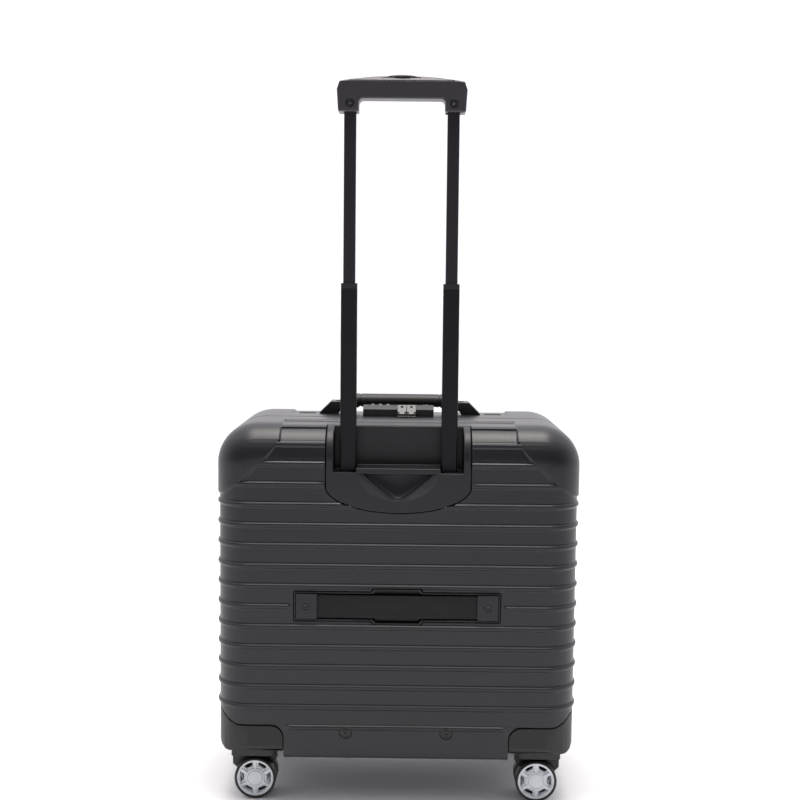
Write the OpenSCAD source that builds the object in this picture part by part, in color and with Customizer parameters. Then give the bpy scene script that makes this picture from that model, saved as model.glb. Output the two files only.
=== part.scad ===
// Rolling flight case: two ribbed half shells that part at a zip and hinge at the bottom,
// a two-stage telescopic handle, a top handle with a zip lock and four twin-wheel casters.
// Millimetres. The floor is Z = 0, the telescopic handle is on the -Y side, X runs across.

/* [Case body] */
// Width across the flat sides
case_w = 406; // [390:1:430]
// Depth from the rear face to the front face
case_d = 221; // [215:1:250]
// Height of the flat top above the floor
case_top = 431; // [425:1:450]
// Height of the flat underside above the floor
case_bottom = 53; // [52:1:56]
// Thickness of the shell wall
wall = 2.6; // [2:0.1:3]
// Edge radius round the rear face
rear_r = 38; // [34:1:42]
// Edge radius round the front face
front_r = 26; // [22:1:40]
// Radius of the two top corners seen from the rear
top_r = 44; // [38:1:50]
// Where the two shells meet, measured along Y
split_y = -6; // [-10:0.5:0]
// Width of the gap that the zip fills
zip_gap = 4; // [3.6:0.1:5]

/* [Ribs] */
// How far ribs, corner domes and rims stand proud
rib_proud = 2; // [1:0.1:2.5]
// Height of one rib
rib_h = 5; // [3:0.5:8]
// Height of the lowest rib's middle
rib_z0 = 91.3; // [90:0.1:92]
// Distance from rib to rib
rib_pitch = 23; // [22:0.1:23.2]
// Number of ribs on the straight part of the rear face
rib_count = 14; // [10:1:14]
// Width of the plain rim beside the zip
rim_w = 34; // [20:1:36]

/* [Handle panel] */
// Half width of the panel in the rear face
panel_half_w = 80.6; // [79:0.1:84]
// Height where the panel's straight sides end
panel_side_z = 366; // [360:1:368]
// Height of the panel's lowest point
panel_low_z = 336; // [330:1:345]
// Half width of the pocket that takes the lowered grip
pocket_half_w = 72.4; // [72:0.1:75]
// Floor of the pocket under the grip's legs
pocket_floor = 381; // [380:1:385]
// Ledge between the legs
pocket_ledge = 386; // [384:1:388]

/* [Telescopic handle] */
// Half the distance between the two tubes
tube_x = 56.5; // [54:0.5:58]
// Where the tubes stand along Y
tube_y = -93; // [-94:0.5:-92]
// Lower stage tube, across X
lower_w = 18; // [17:0.1:18.5]
// Lower stage tube, along Y
lower_d = 12; // [11:0.1:12]
// Upper stage tube, across X
upper_w = 13.4; // [13:0.1:13.4]
// Upper stage tube, along Y
upper_d = 8.6; // [8:0.1:8.6]
// Height of the lower stage's top, drawn out
lower_top = 590; // [560:1:600]
// Height of the grip's leg ends, drawn out
leg_end = 775.5; // [760:0.5:780]
// Width of the grip
grip_w = 142; // [138:1:143]
// Depth of the grip
grip_d = 23; // [20:0.5:24]
// Height of the grip from leg end to crown
grip_h = 39; // [36:0.5:40]

/* [Casters] */
// Wheel radius
wheel_r = 24; // [22:0.5:24]
// Width of one of the two wheels
wheel_w = 12; // [10:0.5:12]
// Swivel axis, across X
swivel_x = 175; // [172:0.5:178]
// Swivel axis, along Y
swivel_y = 75; // [72:0.5:78]
// How far the axle trails the swivel axis
trail = 14; // [12:0.5:15]
// Height of the wheel housings' underside
housing_z = 60; // [59:0.5:62]

/* [Top handle and lock] */
// Middle of the top handle along Y
handle_y = 44; // [42:1:48]
// Middle of the top handle's bar above the floor
bar_z = 448.8; // [447:0.1:450]
// Radius of the bar
bar_r = 8.1; // [7:0.1:8.5]
// Half the length over the brackets
bracket_half = 98; // [94:1:102]
// Lock, from its left end
lock_x0 = -43.8; // [-46:0.1:-42]
// Lock, to its right end
lock_x1 = 40.7; // [38:0.1:43]
// Between the two zip pulls, across X
pulls_x = 8.4; // [6:0.1:10]
// Height of the lock's flat top
lock_top = 445.4; // [444:0.1:446]
// Radius of a number dial
dial_r = 6; // [5.5:0.1:6.2]

/* [Hidden] */
$fn = 48;

half_w = case_w / 2;
half_d = case_d / 2;
rear_edge = split_y - zip_gap / 2;
front_edge = split_y + zip_gap / 2;
big = 600;
bottom_r = 14;
sill_r = 10;
run_gap = 0.35;

shell_colour = [0.24, 0.24, 0.26];
plastic_colour = [0.16, 0.16, 0.18];
black = [0.07, 0.07, 0.08];
metal_colour = [0.55, 0.56, 0.58];
lining_colour = [0.36, 0.36, 0.38];
hub_colour = [0.72, 0.74, 0.75];
lock_colour = [0.42, 0.42, 0.41];

// ---------- outlines ----------

function arc(cx, cy, r, from, steps = 7) =
    [for (i = [0:steps]) [cx + r * cos(from + 90 * i / steps), cy + r * sin(from + 90 * i / steps)]];

// r = radii of the corners: high-high, low-high, low-low, high-low
function outline(x0, y0, x1, y1, r) = concat(
    arc(x1 - r[0], y1 - r[0], r[0], 0),
    arc(x0 + r[1], y1 - r[1], r[1], 90),
    arc(x0 + r[2], y0 + r[2], r[2], 180),
    arc(x1 - r[3], y0 + r[3], r[3], 270));

module along_y(y0, y1) { translate([0, y1, 0]) rotate([90, 0, 0]) linear_extrude(y1 - y0) children(); }
module along_x(x0, x1) { translate([x0, 0, 0]) rotate([90, 0, 90]) linear_extrude(x1 - x0) children(); }
module span(x0, y0, z0, x1, y1, z1) { translate([x0, y0, z0]) cube([x1 - x0, y1 - y0, z1 - z0]); }
module both_sides() { children(); mirror([1, 0, 0]) children(); }
module pin_y(x, z, r, y0, y1) { translate([x, y0, z]) rotate([-90, 0, 0]) cylinder(r = r, h = y1 - y0); }
module pin_x(y, z, r, x0, x1) { translate([x0, y, z]) rotate([0, 90, 0]) cylinder(r = r, h = x1 - x0); }

// The whole closed case as a rounded block, grown or shrunk by g
module block(g) {
    w = half_w + g;
    d = half_d + g;
    z0 = case_bottom - g;
    z1 = case_top + g;
    intersection() {
        along_y(-d, d) polygon(outline(-w, z0, w, z1, [top_r + g, top_r + g, bottom_r + g, bottom_r + g]));
        translate([0, 0, z0])
            linear_extrude(z1 - z0)
                polygon(outline(-w, -d, w, d, [front_r + g, front_r + g, rear_r + g, rear_r + g]));
        along_x(-w, w) polygon(outline(-d, z0, d, z1, [front_r + g, rear_r + g, sill_r + g, sill_r + g]));
    }
}

module rear_side(edge = rear_edge) { span(-big, -big, -big, big, edge, big); }
module front_side(edge = front_edge) { span(-big, edge, -big, big, big, big); }

// ---------- what stands proud on the shells ----------

module rib_slabs() {
    for (k = [0:rib_count - 1]) {
        z = rib_z0 + k * rib_pitch - rib_h / 2;
        if (k == 0) span(-122, -big, z, 122, big, z + rib_h);
        else if (k == 6) both_sides() span(strap_half_w + 5, -big, z, big, big, z + rib_h);
        else span(-big, -big, z, big, big, z + rib_h);
    }
    span(-big, -big, case_top - 19, big, big, case_top - 14);
}

module corner_domes() {
    both_sides() along_y(-big, big)
        polygon([[132, case_top + 9], [132, case_top - 16], [147, case_top - 35], [177, case_top - 63],
            [195, case_top - 76], [half_w + 9, case_top - 81], [half_w + 9, case_top + 9]]);
}

module proud_parts() {
    intersection() {
        block(rib_proud);
        union() {
            rib_slabs();
            corner_domes();
            span(-big, rear_edge - rim_w, 95, big, front_edge + rim_w, big);
            span(-150, -half_d + 21.5, case_top - 20, 150, -half_d + 26.5, big);
            both_sides() span(103, 48, case_top - 20, 124, 53, big);
        }
    }
}

// ---------- openings in the rear shell ----------

// Outline of the handle panel, grown by g
module panel_shape(g) {
    w = panel_half_w + g;
    h = panel_side_z - panel_low_z + g;
    polygon(concat([[w, case_top + 20], [-w, case_top + 20]],
        [for (a = [180:7.5:360]) [w * cos(a), panel_side_z + h * sin(a)]]));
}

panel_depth = -half_d + 33.2;
strap_half_w = 115.4;
strap_z0 = 213.6;
strap_z1 = 246.8;
strap_depth = 9;
cap_out = -half_d - 1.8;
cap_in = -half_d + 0.2;
strap_screw_x = 101.8;
strap_screw_z = 230.2;
notch_half = 26;
notch_h = 3.8;

module strap_shape(g) {
    span_w = strap_half_w + g;
    polygon([[-span_w, strap_z0 - g], [-notch_half - 3 - g, strap_z0 - g],
        [-notch_half - g, strap_z0 - notch_h - g], [notch_half + g, strap_z0 - notch_h - g],
        [notch_half + 3 + g, strap_z0 - g], [span_w, strap_z0 - g],
        [span_w, strap_z1 + g], [notch_half + 3 + g, strap_z1 + g],
        [notch_half + g, strap_z1 + notch_h + g], [-notch_half - g, strap_z1 + notch_h + g],
        [-notch_half - 3 - g, strap_z1 + g], [-span_w, strap_z1 + g]]);
}

bolt_z = 85.7;
bolt_head_r = 6.4;

// ---------- wheel housings ----------

housing_x = 127;
housing_y = 28;
housing_top = 92.6;

// Seen from the rear: the part of the case that a housing takes up, grown by g
module housing_shape(g) {
    x0 = housing_x - g;
    z1 = housing_top + g;
    polygon(concat([[half_w + 9, 40], [half_w + 9, z1 + 16], [198, z1 + 11], [190, z1 + 4], [180, z1]],
        arc(x0 + 14, z1 - 14, 14, 90), [[x0, 40]]));
}

module housing_zone(g, side, end) {
    mirror([side < 0 ? 1 : 0, 0, 0])
        if (end < 0) along_y(-big, -housing_y + g) housing_shape(g);
        else along_y(housing_y - g, big) housing_shape(g);
}

module wheel_housing(side, end) {
    s = [side * swivel_x, end * swivel_y];
    lip = 1.5;
    difference() {
        union() {
            difference() {
                intersection() {
                    block(0);
                    housing_zone(-0.4, side, end);
                    housing_underside(side, end);
                }
                intersection() {
                    block(-3);
                    mirror([side < 0 ? 1 : 0, 0, 0])
                        span(housing_x + 3, end < 0 ? -big : housing_y + 3, housing_z + 4,
                            big, end < 0 ? -housing_y - 3 : big, big);
                }
            }
            translate([s[0], s[1], housing_z]) cylinder(r = 15, h = 12.5);
        }
        translate([s[0], s[1], housing_z + lip]) cylinder(r = 11, h = 30);
        translate([s[0], s[1], housing_z - 1]) cylinder(r = 6.5, h = 10);
    }
}

// Everything above the housing's stepped underside
module housing_underside(side, end) {
    mirror([side < 0 ? 1 : 0, 0, 0]) intersection() {
        along_y(-big, big)
            polygon(concat([[housing_x, 120], [housing_x, case_bottom], [housing_x + 5, housing_z]],
                arc(half_w - 12, housing_z + 12, 12, 270), [[half_w, 120]]));
        mirror([0, end < 0 ? 1 : 0, 0])
            along_x(-big, big)
                polygon(concat([[housing_y, 120], [housing_y, case_bottom], [housing_y + 5, housing_z]],
                    arc(half_d - 12, housing_z + 12, 12, 270), [[half_d, 120]]));
    }
}

module swivel_bearing(side, end) {
    translate([side * swivel_x, end * swivel_y, housing_z + 1.5]) difference() {
        cylinder(r = 11, h = 10);
        translate([0, 0, -1]) cylinder(r = stem_r + 0.05, h = 12);
    }
}

// ---------- shells ----------

module rear_shell() {
    color(shell_colour) difference() {
        intersection() {
            union() {
                block(0);
                proud_parts();
            }
            rear_side();
        }
        block(-wall);
        along_y(-big, panel_depth + 0.4) panel_shape(0.4);
        along_y(-half_d - 9, -half_d + 9) strap_shape(0.4);
        both_sides() pin_y(tube_x, bolt_z, bolt_head_r + 0.5, -half_d - 9, -half_d + 9);
        for (side = [-1, 1]) housing_zone(0, side, -1);
    }
}

module front_shell() {
    color(shell_colour) difference() {
        intersection() {
            union() {
                block(0);
                proud_parts();
            }
            front_side();
        }
        block(-wall);
        for (side = [-1, 1]) housing_zone(0, side, 1);
    }
}

// ---------- linings ----------

module channel_zone(g) {
    span(-84 - g, -big, 0, 84 + g, -75 + g, big);
    span(-118 - g, -big, 204 - g, 118 + g, -98 + g, 257 + g);
    for (side = [-1, 1]) mirror([side < 0 ? 1 : 0, 0, 0])
        span(housing_x - 4 - g, -big, 0, big, -housing_y + 4 + g, housing_top + 22 + g);
}

module front_zone(g) {
    both_sides() span(housing_x - 4 - g, housing_y - 4 - g, 0, big, big, housing_top + 22 + g);
}

module rear_lining() {
    color(lining_colour) difference() {
        intersection() {
            block(-wall - 0.5);
            rear_side(rear_edge - 0.5);
        }
        channel_zone(0);
        difference() {
            block(-wall - 2);
            channel_zone(1.5);
        }
    }
}

module front_lining() {
    color(lining_colour) difference() {
        intersection() {
            block(-wall - 0.5);
            front_side(front_edge + 0.5);
        }
        front_zone(0);
        difference() {
            block(-wall - 2);
            front_zone(1.5);
        }
    }
}

module packing_straps() {
    y0 = -73.2;
    color(black) {
        for (x = [-48, 48]) span(x - 12.5, y0, 110, x + 12.5, y0 + 1.6, 400);
        for (x = [-48, 48]) span(x - 16, y0 + 1.6, 236, x + 16, y0 + 7, 268);
    }
}

// ---------- rear fittings ----------

module handle_panel() {
    color(plastic_colour) difference() {
        intersection() {
            block(0);
            along_y(-big, panel_depth) panel_shape(0);
        }
        span(-pocket_half_w, -big, pocket_ledge, pocket_half_w, panel_depth - 2.5, big);
        both_sides() span(46.9, -big, pocket_floor, pocket_half_w, panel_depth - 2.5, big);
        span(-78, -half_d + 9.5, 0, 78, big, pocket_floor - 3);
        both_sides() span(tube_x - lower_w / 2 - 0.5, tube_y - lower_d / 2 - 0.5, pocket_floor - 9,
            tube_x + lower_w / 2 + 0.5, tube_y + lower_d / 2 + 0.5, pocket_floor + 1);
        along_y(-big, -half_d + 7) scoop_shape();
    }
}

module scoop_shape() {
    polygon([for (a = [180:10:360]) [42.5 * cos(a), 379.7 + 29 * sin(a)]]);
}

module strap_tray() {
    color(plastic_colour) difference() {
        along_y(-half_d, -half_d + strap_depth) strap_shape(0);
        difference() {
            along_y(-half_d - 1, -half_d + strap_depth - 2) strap_shape(-2);
            both_sides() span(89.6, cap_in + 1.8, 0, strap_half_w, 0, big);
        }
        both_sides() pin_y(strap_screw_x, strap_screw_z, 1.5, -half_d, -half_d + 20);
    }
}

module strap_webbing() {
    color(black) difference() {
        span(-112, cap_in, 217.2, 112, cap_in + 1.8, 243.2);
        both_sides() pin_y(strap_screw_x, strap_screw_z, 2, -half_d, -half_d + 20);
    }
}

module strap_end_caps() {
    color(plastic_colour) both_sides() difference() {
        span(89.6, cap_out, strap_z0 + 2.3, strap_half_w - 2.3, cap_in, strap_z1 - 2.3);
        pin_y(strap_screw_x, strap_screw_z, 3.4, -half_d - 9, cap_out + 1);
        pin_y(strap_screw_x, strap_screw_z, 1.5, -half_d - 9, -half_d + 9);
    }
}

module strap_screws() {
    color(metal_colour) both_sides() {
        pin_y(strap_screw_x, strap_screw_z, 3.2, cap_out, cap_out + 1);
        pin_y(strap_screw_x, strap_screw_z, 1.5, cap_out + 1, -half_d + 8.6);
    }
}

// ---------- telescopic handle ----------

guide_wall = 1.2;
guide_w = lower_w + 2 * run_gap + 2 * guide_wall;
guide_d = lower_d + 2 * run_gap + 2 * guide_wall;
lower_wall = 1.3;
upper_wall = 1.1;
insertion = 66;
collar_h = 6;
foot_z = 94;
grip_crown = leg_end + grip_h;
rod_x = tube_x - 3.95;
rod_r = 1.2;
rivet_z = leg_end + 9.5;
button_half = 17.2;

module tube(w, d, t, z0, z1) {
    translate([0, 0, z0]) linear_extrude(z1 - z0) difference() {
        polygon(outline(-w / 2, -d / 2, w / 2, d / 2, [2, 2, 2, 2]));
        polygon(outline(t - w / 2, t - d / 2, w / 2 - t, d / 2 - t, [1, 1, 1, 1]));
    }
}

module at_tubes() { both_sides() translate([tube_x, tube_y, 0]) children(); }

module guide_tubes() {
    color(metal_colour) at_tubes() tube(guide_w, guide_d, guide_wall, foot_z, pocket_floor - 3);
}

module tube_foot_bracket() {
    color(plastic_colour) difference() {
        span(-72, -half_d + wall, 68, 72, -84, 106);
        at_tubes() span(-guide_w / 2, -guide_d / 2, foot_z, guide_w / 2, guide_d / 2, 120);
        both_sides() pin_y(tube_x, bolt_z, 2.5, -half_d, -half_d + 22);
    }
}

module tube_foot_bolts() {
    color(metal_colour) both_sides() difference() {
        union() {
            pin_y(tube_x, bolt_z, bolt_head_r, -half_d + 0.2, -half_d + wall);
            pin_y(tube_x, bolt_z, 2.5, -half_d + wall, -half_d + 20);
        }
        pin_y(tube_x, bolt_z, 1.6, -half_d - 1, -half_d + 1.6);
    }
}

module lower_tubes() {
    color(black) at_tubes() difference() {
        tube(lower_w, lower_d, lower_wall, pocket_floor - insertion, lower_top - collar_h);
        pin_x(0, lower_top - 43, 2.2, -lower_w, 0);
    }
}

module lower_collars() {
    w = upper_w / 2 + run_gap;
    d = upper_d / 2 + run_gap;
    color(plastic_colour) at_tubes() difference() {
        translate([0, 0, lower_top - collar_h]) linear_extrude(collar_h)
            polygon(outline(-lower_w / 2, -lower_d / 2, lower_w / 2, lower_d / 2, [2, 2, 2, 2]));
        span(-w, -d, 0, w, d, big * 2);
    }
}

module tube_detents() {
    color(metal_colour) at_tubes()
        pin_x(0, lower_top - 43, 2.2, -lower_w / 2 - 0.2, -lower_w / 2 + lower_wall - 0.1);
}

module upper_tubes() {
    color(black) at_tubes() difference() {
        tube(upper_w, upper_d, upper_wall, lower_top - insertion, rivet_z + 6);
        pin_y(0, rivet_z, 2.4, -9, 9);
    }
}

module grip_frame() {
    w = grip_w / 2;
    d = grip_d / 2;
    color(plastic_colour) difference() {
        intersection() {
            along_y(tube_y - d, tube_y + d)
                polygon(concat([[w - 1.5, leg_end], [w, leg_end + 24]],
                    [for (i = [-6:6]) [-i * (w - 3) / 6, grip_crown - 6 * i * i / 36]],
                    [[-w, leg_end + 24], [1.5 - w, leg_end], [-46.9, leg_end], [-46.9, leg_end + 11],
                        [-43.9, leg_end + 14], [43.9, leg_end + 14], [46.9, leg_end + 11],
                        [46.9, leg_end]]));
            along_x(-big, big)
                polygon(outline(tube_y - d, leg_end - 9, tube_y + d, grip_crown, [9, 9, 4, 4]));
        }
        at_tubes() span(-upper_w / 2, -upper_d / 2, 0, upper_w / 2, upper_d / 2, rivet_z + 6);
        at_tubes() pin_y(0, rivet_z, 2.4, -20, 20);
        at_tubes() pin_y(0, rivet_z, 4, -20, -d + 1);
        at_tubes() pin_y(0, rivet_z, 4, d - 1, 20);
        span(-54.4, tube_y - 2.8, leg_end + 17.1, 54.4, tube_y + 2.8, leg_end + 27.3);
        both_sides() translate([rod_x, tube_y, 0]) cylinder(r = rod_r + 0.4, h = leg_end + 20);
        span(-button_half - 0.4, tube_y - 7.4, leg_end + 21.7, button_half + 0.4, tube_y + 7.4, big * 2);
    }
}

module grip_rivets() {
    d = grip_d / 2;
    color(metal_colour) at_tubes() difference() {
        union() {
            pin_y(0, rivet_z, 2.4, 1 - d, d - 1);
            pin_y(0, rivet_z, 3.8, 0.3 - d, 1 - d);
            pin_y(0, rivet_z, 3.8, d - 1, d - 0.3);
        }
        pin_y(0, rivet_z, 1.6, -20, 20);
    }
}

module push_rods() {
    color(metal_colour) both_sides() translate([rod_x, tube_y, lower_top - insertion + 10])
        cylinder(r = rod_r, h = leg_end + 21.5 - (lower_top - insertion + 10));
}

module release_button() {
    color(plastic_colour) {
        span(-54, tube_y - 2.4, leg_end + 21.5, 54, tube_y + 2.4, leg_end + 26);
        intersection() {
            along_y(tube_y - 7, tube_y + 7)
                polygon(concat([[button_half, leg_end + 26]],
                    [for (i = [-5:5]) [-i * button_half / 5, grip_crown + 1.6 - 2.4 * i * i / 25]],
                    [[-button_half, leg_end + 26]]));
            along_x(-big, big)
                polygon(outline(tube_y - 7, leg_end + 20, tube_y + 7, grip_crown + 1.6, [4, 4, 1, 1]));
        }
    }
}

// ---------- zip ----------

coil_in = 3;

module zip_ring(y0, y1) {
    difference() {
        intersection() {
            block(0);
            span(-big, y0, case_bottom + 24, big, y1, big);
        }
        block(-coil_in);
    }
}

module zip_half_rear() { color(black) zip_ring(rear_edge, split_y - 0.1); }
module zip_half_front() { color(black) zip_ring(split_y + 0.1, front_edge); }

slider_z = case_top + rib_proud + 0.3;
pull_axis = [split_y - 1, slider_z + 3.3];
pull_w = 10.6;
pull_pin_r = 0.8;
pull_slope = 32;
pull_low = 1;

module zip_slider(side) {
    x = pulls_x + side * (pull_w / 2 + 0.25);
    color(lock_colour) {
        span(x - pull_w / 2, split_y - 5, slider_z, x + pull_w / 2, split_y + 5, slider_z + 1.4);
        span(x - 3, split_y - 1.5, case_top + 0.3, x + 3, split_y + 1.5, slider_z);
        for (e = [-1, 1]) difference() {
            span(x + e * 4.4 - 0.9, pull_axis[0] - 1.6, slider_z + 1.4,
                x + e * 4.4 + 0.9, pull_axis[0] + 1.6, pull_axis[1] + 1.6);
            pin_x(pull_axis[0], pull_axis[1], pull_pin_r, x - 9, x + 9);
        }
        pin_x(pull_axis[0], pull_axis[1], pull_pin_r, x - 5.3, x + 5.3);
    }
}

module zip_pull(side) {
    x = pulls_x + side * (pull_w / 2 + 0.25);
    color(lock_colour) translate([x, pull_axis[0], pull_axis[1]]) rotate([pull_slope, 0, 0]) difference() {
        union() {
            pin_x(0, 0, 1.6, -3.2, 3.2);
            span(-3.2, 0, -pull_low, 3.2, 3, 1.6);
            span(-pull_w / 2, 2.8, -pull_low, pull_w / 2, 16.5, 1.6);
        }
        pin_x(0, 0, pull_pin_r + 0.06, -9, 9);
        translate([0, 12.5, -5]) cylinder(r = 1.6, h = 20);
    }
}

// ---------- lock ----------

lock_y0 = 3.2;
lock_y1 = 24;
deck = case_top + rib_proud;
// The lock's sloping front lies just under the resting pulls
slope_z = pull_axis[1] + (lock_y0 - pull_axis[0]) * tan(pull_slope) - (pull_low + 0.4) / cos(pull_slope);
slope_run = (lock_top - slope_z) / tan(pull_slope);
dial_y = 17.4;
dial_w = 6.4;
dial_x = [-32.4, -23.3, -14.2];
dial_z = lock_top + 1 - dial_r;
key_x = 31;
key_y = 17.8;
key_r = 3.6;

module lock_housing() {
    color(lock_colour) {
        difference() {
            along_x(lock_x0, lock_x1)
                polygon([[lock_y0, deck], [lock_y0, slope_z], [lock_y0 + slope_run, lock_top],
                    [lock_y1 - 2, lock_top], [lock_y1, lock_top - 3], [lock_y1, deck]]);
            for (x = dial_x)
                span(x - dial_w / 2 - 0.4, dial_y - dial_r - 0.5, deck + 0.4, x + dial_w / 2 + 0.4,
                    dial_y + dial_r + 0.5, big);
            translate([key_x, key_y, deck + 2]) cylinder(r = key_r + 0.05, h = 40);
            span(-9.4, 15.6, lock_top - 3, -2.6, 20.4, big);
        }
        pin_x(dial_y, dial_z, 1.2, dial_x[0] - 5, dial_x[2] + 5);
    }
}

module lock_dial(n) {
    x = dial_x[n - 1];
    color("gainsboro") difference() {
        pin_x(dial_y, dial_z, dial_r, x - dial_w / 2, x + dial_w / 2);
        pin_x(dial_y, dial_z, 1.25, x - dial_w, x + dial_w);
        for (a = [18:36:342]) translate([x, dial_y, dial_z]) rotate([a, 0, 0])
            pin_x(0, dial_r, 0.35, -dial_w, dial_w);
    }
}

module lock_key_barrel() {
    color(metal_colour) translate([key_x, key_y, deck + 2.3]) difference() {
        cylinder(r = key_r, h = lock_top + 0.4 - deck - 2.3);
        span(-0.5, -2.4, lock_top - deck - 6, 0.5, 2.4, 40);
    }
}

module lock_release_button() {
    color(plastic_colour) span(-9.1, 16, lock_top - 2.7, -5.1, 20, lock_top + 0.9);
}

// ---------- top handle ----------

module handle_brackets() {
    top = case_top + 17;
    color(black) both_sides() difference() {
        along_y(handle_y - 13, handle_y + 13)
            polygon([[bracket_half, case_top], [bracket_half, case_top + 3], [84, top], [60, top],
                [60, case_top + 7], [71, case_top + 7], [75, case_top + 3], [75, case_top]]);
        span(0, handle_y - 7.3, top - 8.3, 78, handle_y + 7.3, big);
    }
}

module carry_grip() {
    top = case_top + 17;
    color(black) {
        along_x(-59, 59) polygon([for (a = [0:15:345])
            [handle_y + (bar_r + 1.5) * cos(a), bar_z + bar_r * sin(a)]]);
        both_sides() span(50, handle_y - 7, top - 8, 77, handle_y + 7, top - 1.5);
    }
}

// ---------- bottom hinge ----------

hinge_z = case_bottom - 4;
knuckle_r = 3.9;
hinge_pin_r = 1.8;
knuckle_w = 38;
leaf_t = 1.8;

// knuckles = middles along X of the leaf's own barrels; end = -1 for the rear leaf, 1 for the front one
module hinge_leaf(knuckles, end, bore) {
    difference() {
        union() {
            mirror([0, end < 0 ? 1 : 0, 0]) {
                s = end * split_y;
                span(-100, s + 4.6, case_bottom - leaf_t, 100, s + 24, case_bottom);
                for (x = knuckles)
                    span(x - knuckle_w / 2, s, case_bottom - leaf_t, x + knuckle_w / 2, s + 5, case_bottom - 0.3);
            }
            for (x = knuckles)
                pin_x(split_y, hinge_z, knuckle_r, x - knuckle_w / 2, x + knuckle_w / 2);
        }
        pin_x(split_y, hinge_z, bore, -big, big);
    }
}

module hinge_leaf_rear() { color(black) hinge_leaf([-80, 0, 80], -1, hinge_pin_r); }
module hinge_leaf_front() { color(black) hinge_leaf([-40, 40], 1, hinge_pin_r + 0.06); }
module hinge_pin() { color(metal_colour) pin_x(split_y, hinge_z, hinge_pin_r, -98.5, 98.5); }

// ---------- casters ----------

stem_r = 5;
axle_r = 2.5;
fork_top = housing_z - 1.2;
hub_r = wheel_r - 2.9;
web_half = 4;
wheel_in = 5.2;
boss_r = 10.5;
hood_in = -38;
hood_out = 13.4;

module at_caster(side, end) {
    translate([side * swivel_x, end * swivel_y, 0]) mirror([side < 0 ? 1 : 0, 0, 0]) children();
}

// The wheel trails towards the middle of the case, so the axle is at X = -trail
module caster_fork(side, end) {
    color(black) at_caster(side, end) difference() {
        union() {
            translate([0, 0, wheel_r + 25.5]) linear_extrude(fork_top - wheel_r - 25.5)
                polygon(outline(hood_in, -17, hood_out, 17, [3, 10, 10, 3]));
            along_y(-web_half, web_half)
                polygon(concat([[hood_out, fork_top - 2], [hood_in, fork_top - 2], [hood_in, 44]],
                    [for (a = [190:20:330]) [boss_r * cos(a) - trail, wheel_r + boss_r * sin(a)]],
                    [[hood_out, 36]]));
            translate([0, 0, fork_top - 1]) cylinder(r = stem_r, h = housing_z + 13 - fork_top);
            translate([0, 0, housing_z + 11.7]) cylinder(r = 8, h = 3);
        }
        pin_y(-trail, wheel_r, axle_r, -20, 20);
    }
}

module caster_axle(side, end) {
    color(metal_colour) at_caster(side, end) {
        pin_y(-trail, wheel_r, axle_r, -16.2, 16.2);
        for (e = [-1, 1]) pin_y(-trail, wheel_r, 4.6, e * 15.95 - 0.5, e * 15.95 + 0.5);
    }
}

// One of the six windows between the spokes
module hub_window() {
    polygon(concat([for (a = [-21, -7, 7, 21]) [(hub_r - 4) * cos(a), (hub_r - 4) * sin(a)]],
        [for (a = [19, 0, -19]) [11.4 * cos(a), 11.4 * sin(a)]]));
}

module hub(y0) {
    difference() {
        union() {
            difference() {
                pin_y(-trail, wheel_r, hub_r, y0 + 1, y0 + wheel_w - 1);
                pin_y(-trail, wheel_r, hub_r - 3, y0 - 1, y0 + 3);
                pin_y(-trail, wheel_r, hub_r - 3, y0 + wheel_w - 3, y0 + wheel_w + 1);
                for (a = [0:60:300]) translate([-trail, 0, wheel_r]) rotate([0, a, 0])
                    along_y(y0 - 1, y0 + wheel_w + 1) hub_window();
            }
            pin_y(-trail, wheel_r, 6.8, y0 + 0.2, y0 + wheel_w - 0.2);
        }
        pin_y(-trail, wheel_r, axle_r + 0.06, y0 - 1, y0 + wheel_w + 1);
        pin_y(-trail, wheel_r, 5, y0 < 0 ? y0 - 1 : y0 + wheel_w - 1.9, y0 < 0 ? y0 + 1.9 : y0 + wheel_w + 1);
    }
}

module wheel_hubs(side, end) {
    color(hub_colour) at_caster(side, end) {
        hub(wheel_in);
        hub(-wheel_in - wheel_w);
    }
}

module tyre(y0) {
    translate([-trail, y0 + wheel_w, wheel_r]) rotate([90, 0, 0]) rotate_extrude()
        polygon([[hub_r, 0.5], [wheel_r - 1.6, 0], [wheel_r - 0.4, 0.8], [wheel_r, 2.4],
            [wheel_r, wheel_w - 2.4], [wheel_r - 0.4, wheel_w - 0.8], [wheel_r - 1.6, wheel_w],
            [hub_r, wheel_w - 0.5]]);
}

module wheel_tyres(side, end) {
    color(black) at_caster(side, end) {
        tyre(wheel_in);
        tyre(-wheel_in - wheel_w);
    }
}

// ---------- every node ----------

rear_shell();
handle_panel();
strap_tray();
strap_webbing();
strap_end_caps();
strap_screws();
guide_tubes();
tube_foot_bracket();
tube_foot_bolts();
color(plastic_colour) wheel_housing(-1, -1);  // rear_wheel_housing_left
color(plastic_colour) wheel_housing(1, -1);  // rear_wheel_housing_right
rear_lining();
packing_straps();
zip_half_rear();
hinge_leaf_rear();
hinge_pin();
color(metal_colour) for (side = [-1, 1]) swivel_bearing(side, -1);  // swivel_bearings_rear
front_shell();
color(plastic_colour) wheel_housing(-1, 1);  // front_wheel_housing_left
color(plastic_colour) wheel_housing(1, 1);  // front_wheel_housing_right
front_lining();
handle_brackets();
lock_housing();
zip_half_front();
hinge_leaf_front();
color(metal_colour) for (side = [-1, 1]) swivel_bearing(side, 1);  // swivel_bearings_front
carry_grip();
lock_dial(1);  // lock_dial_1
lock_dial(2);  // lock_dial_2
lock_dial(3);  // lock_dial_3
lock_key_barrel();
lock_release_button();
zip_slider(-1);  // zip_slider_left
zip_slider(1);  // zip_slider_right
zip_pull(-1);  // zip_pull_left
zip_pull(1);  // zip_pull_right
lower_tubes();
lower_collars();
tube_detents();
upper_tubes();
grip_frame();
grip_rivets();
push_rods();
release_button();
caster_fork(-1, -1);  // caster_fork_rear_left
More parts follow.
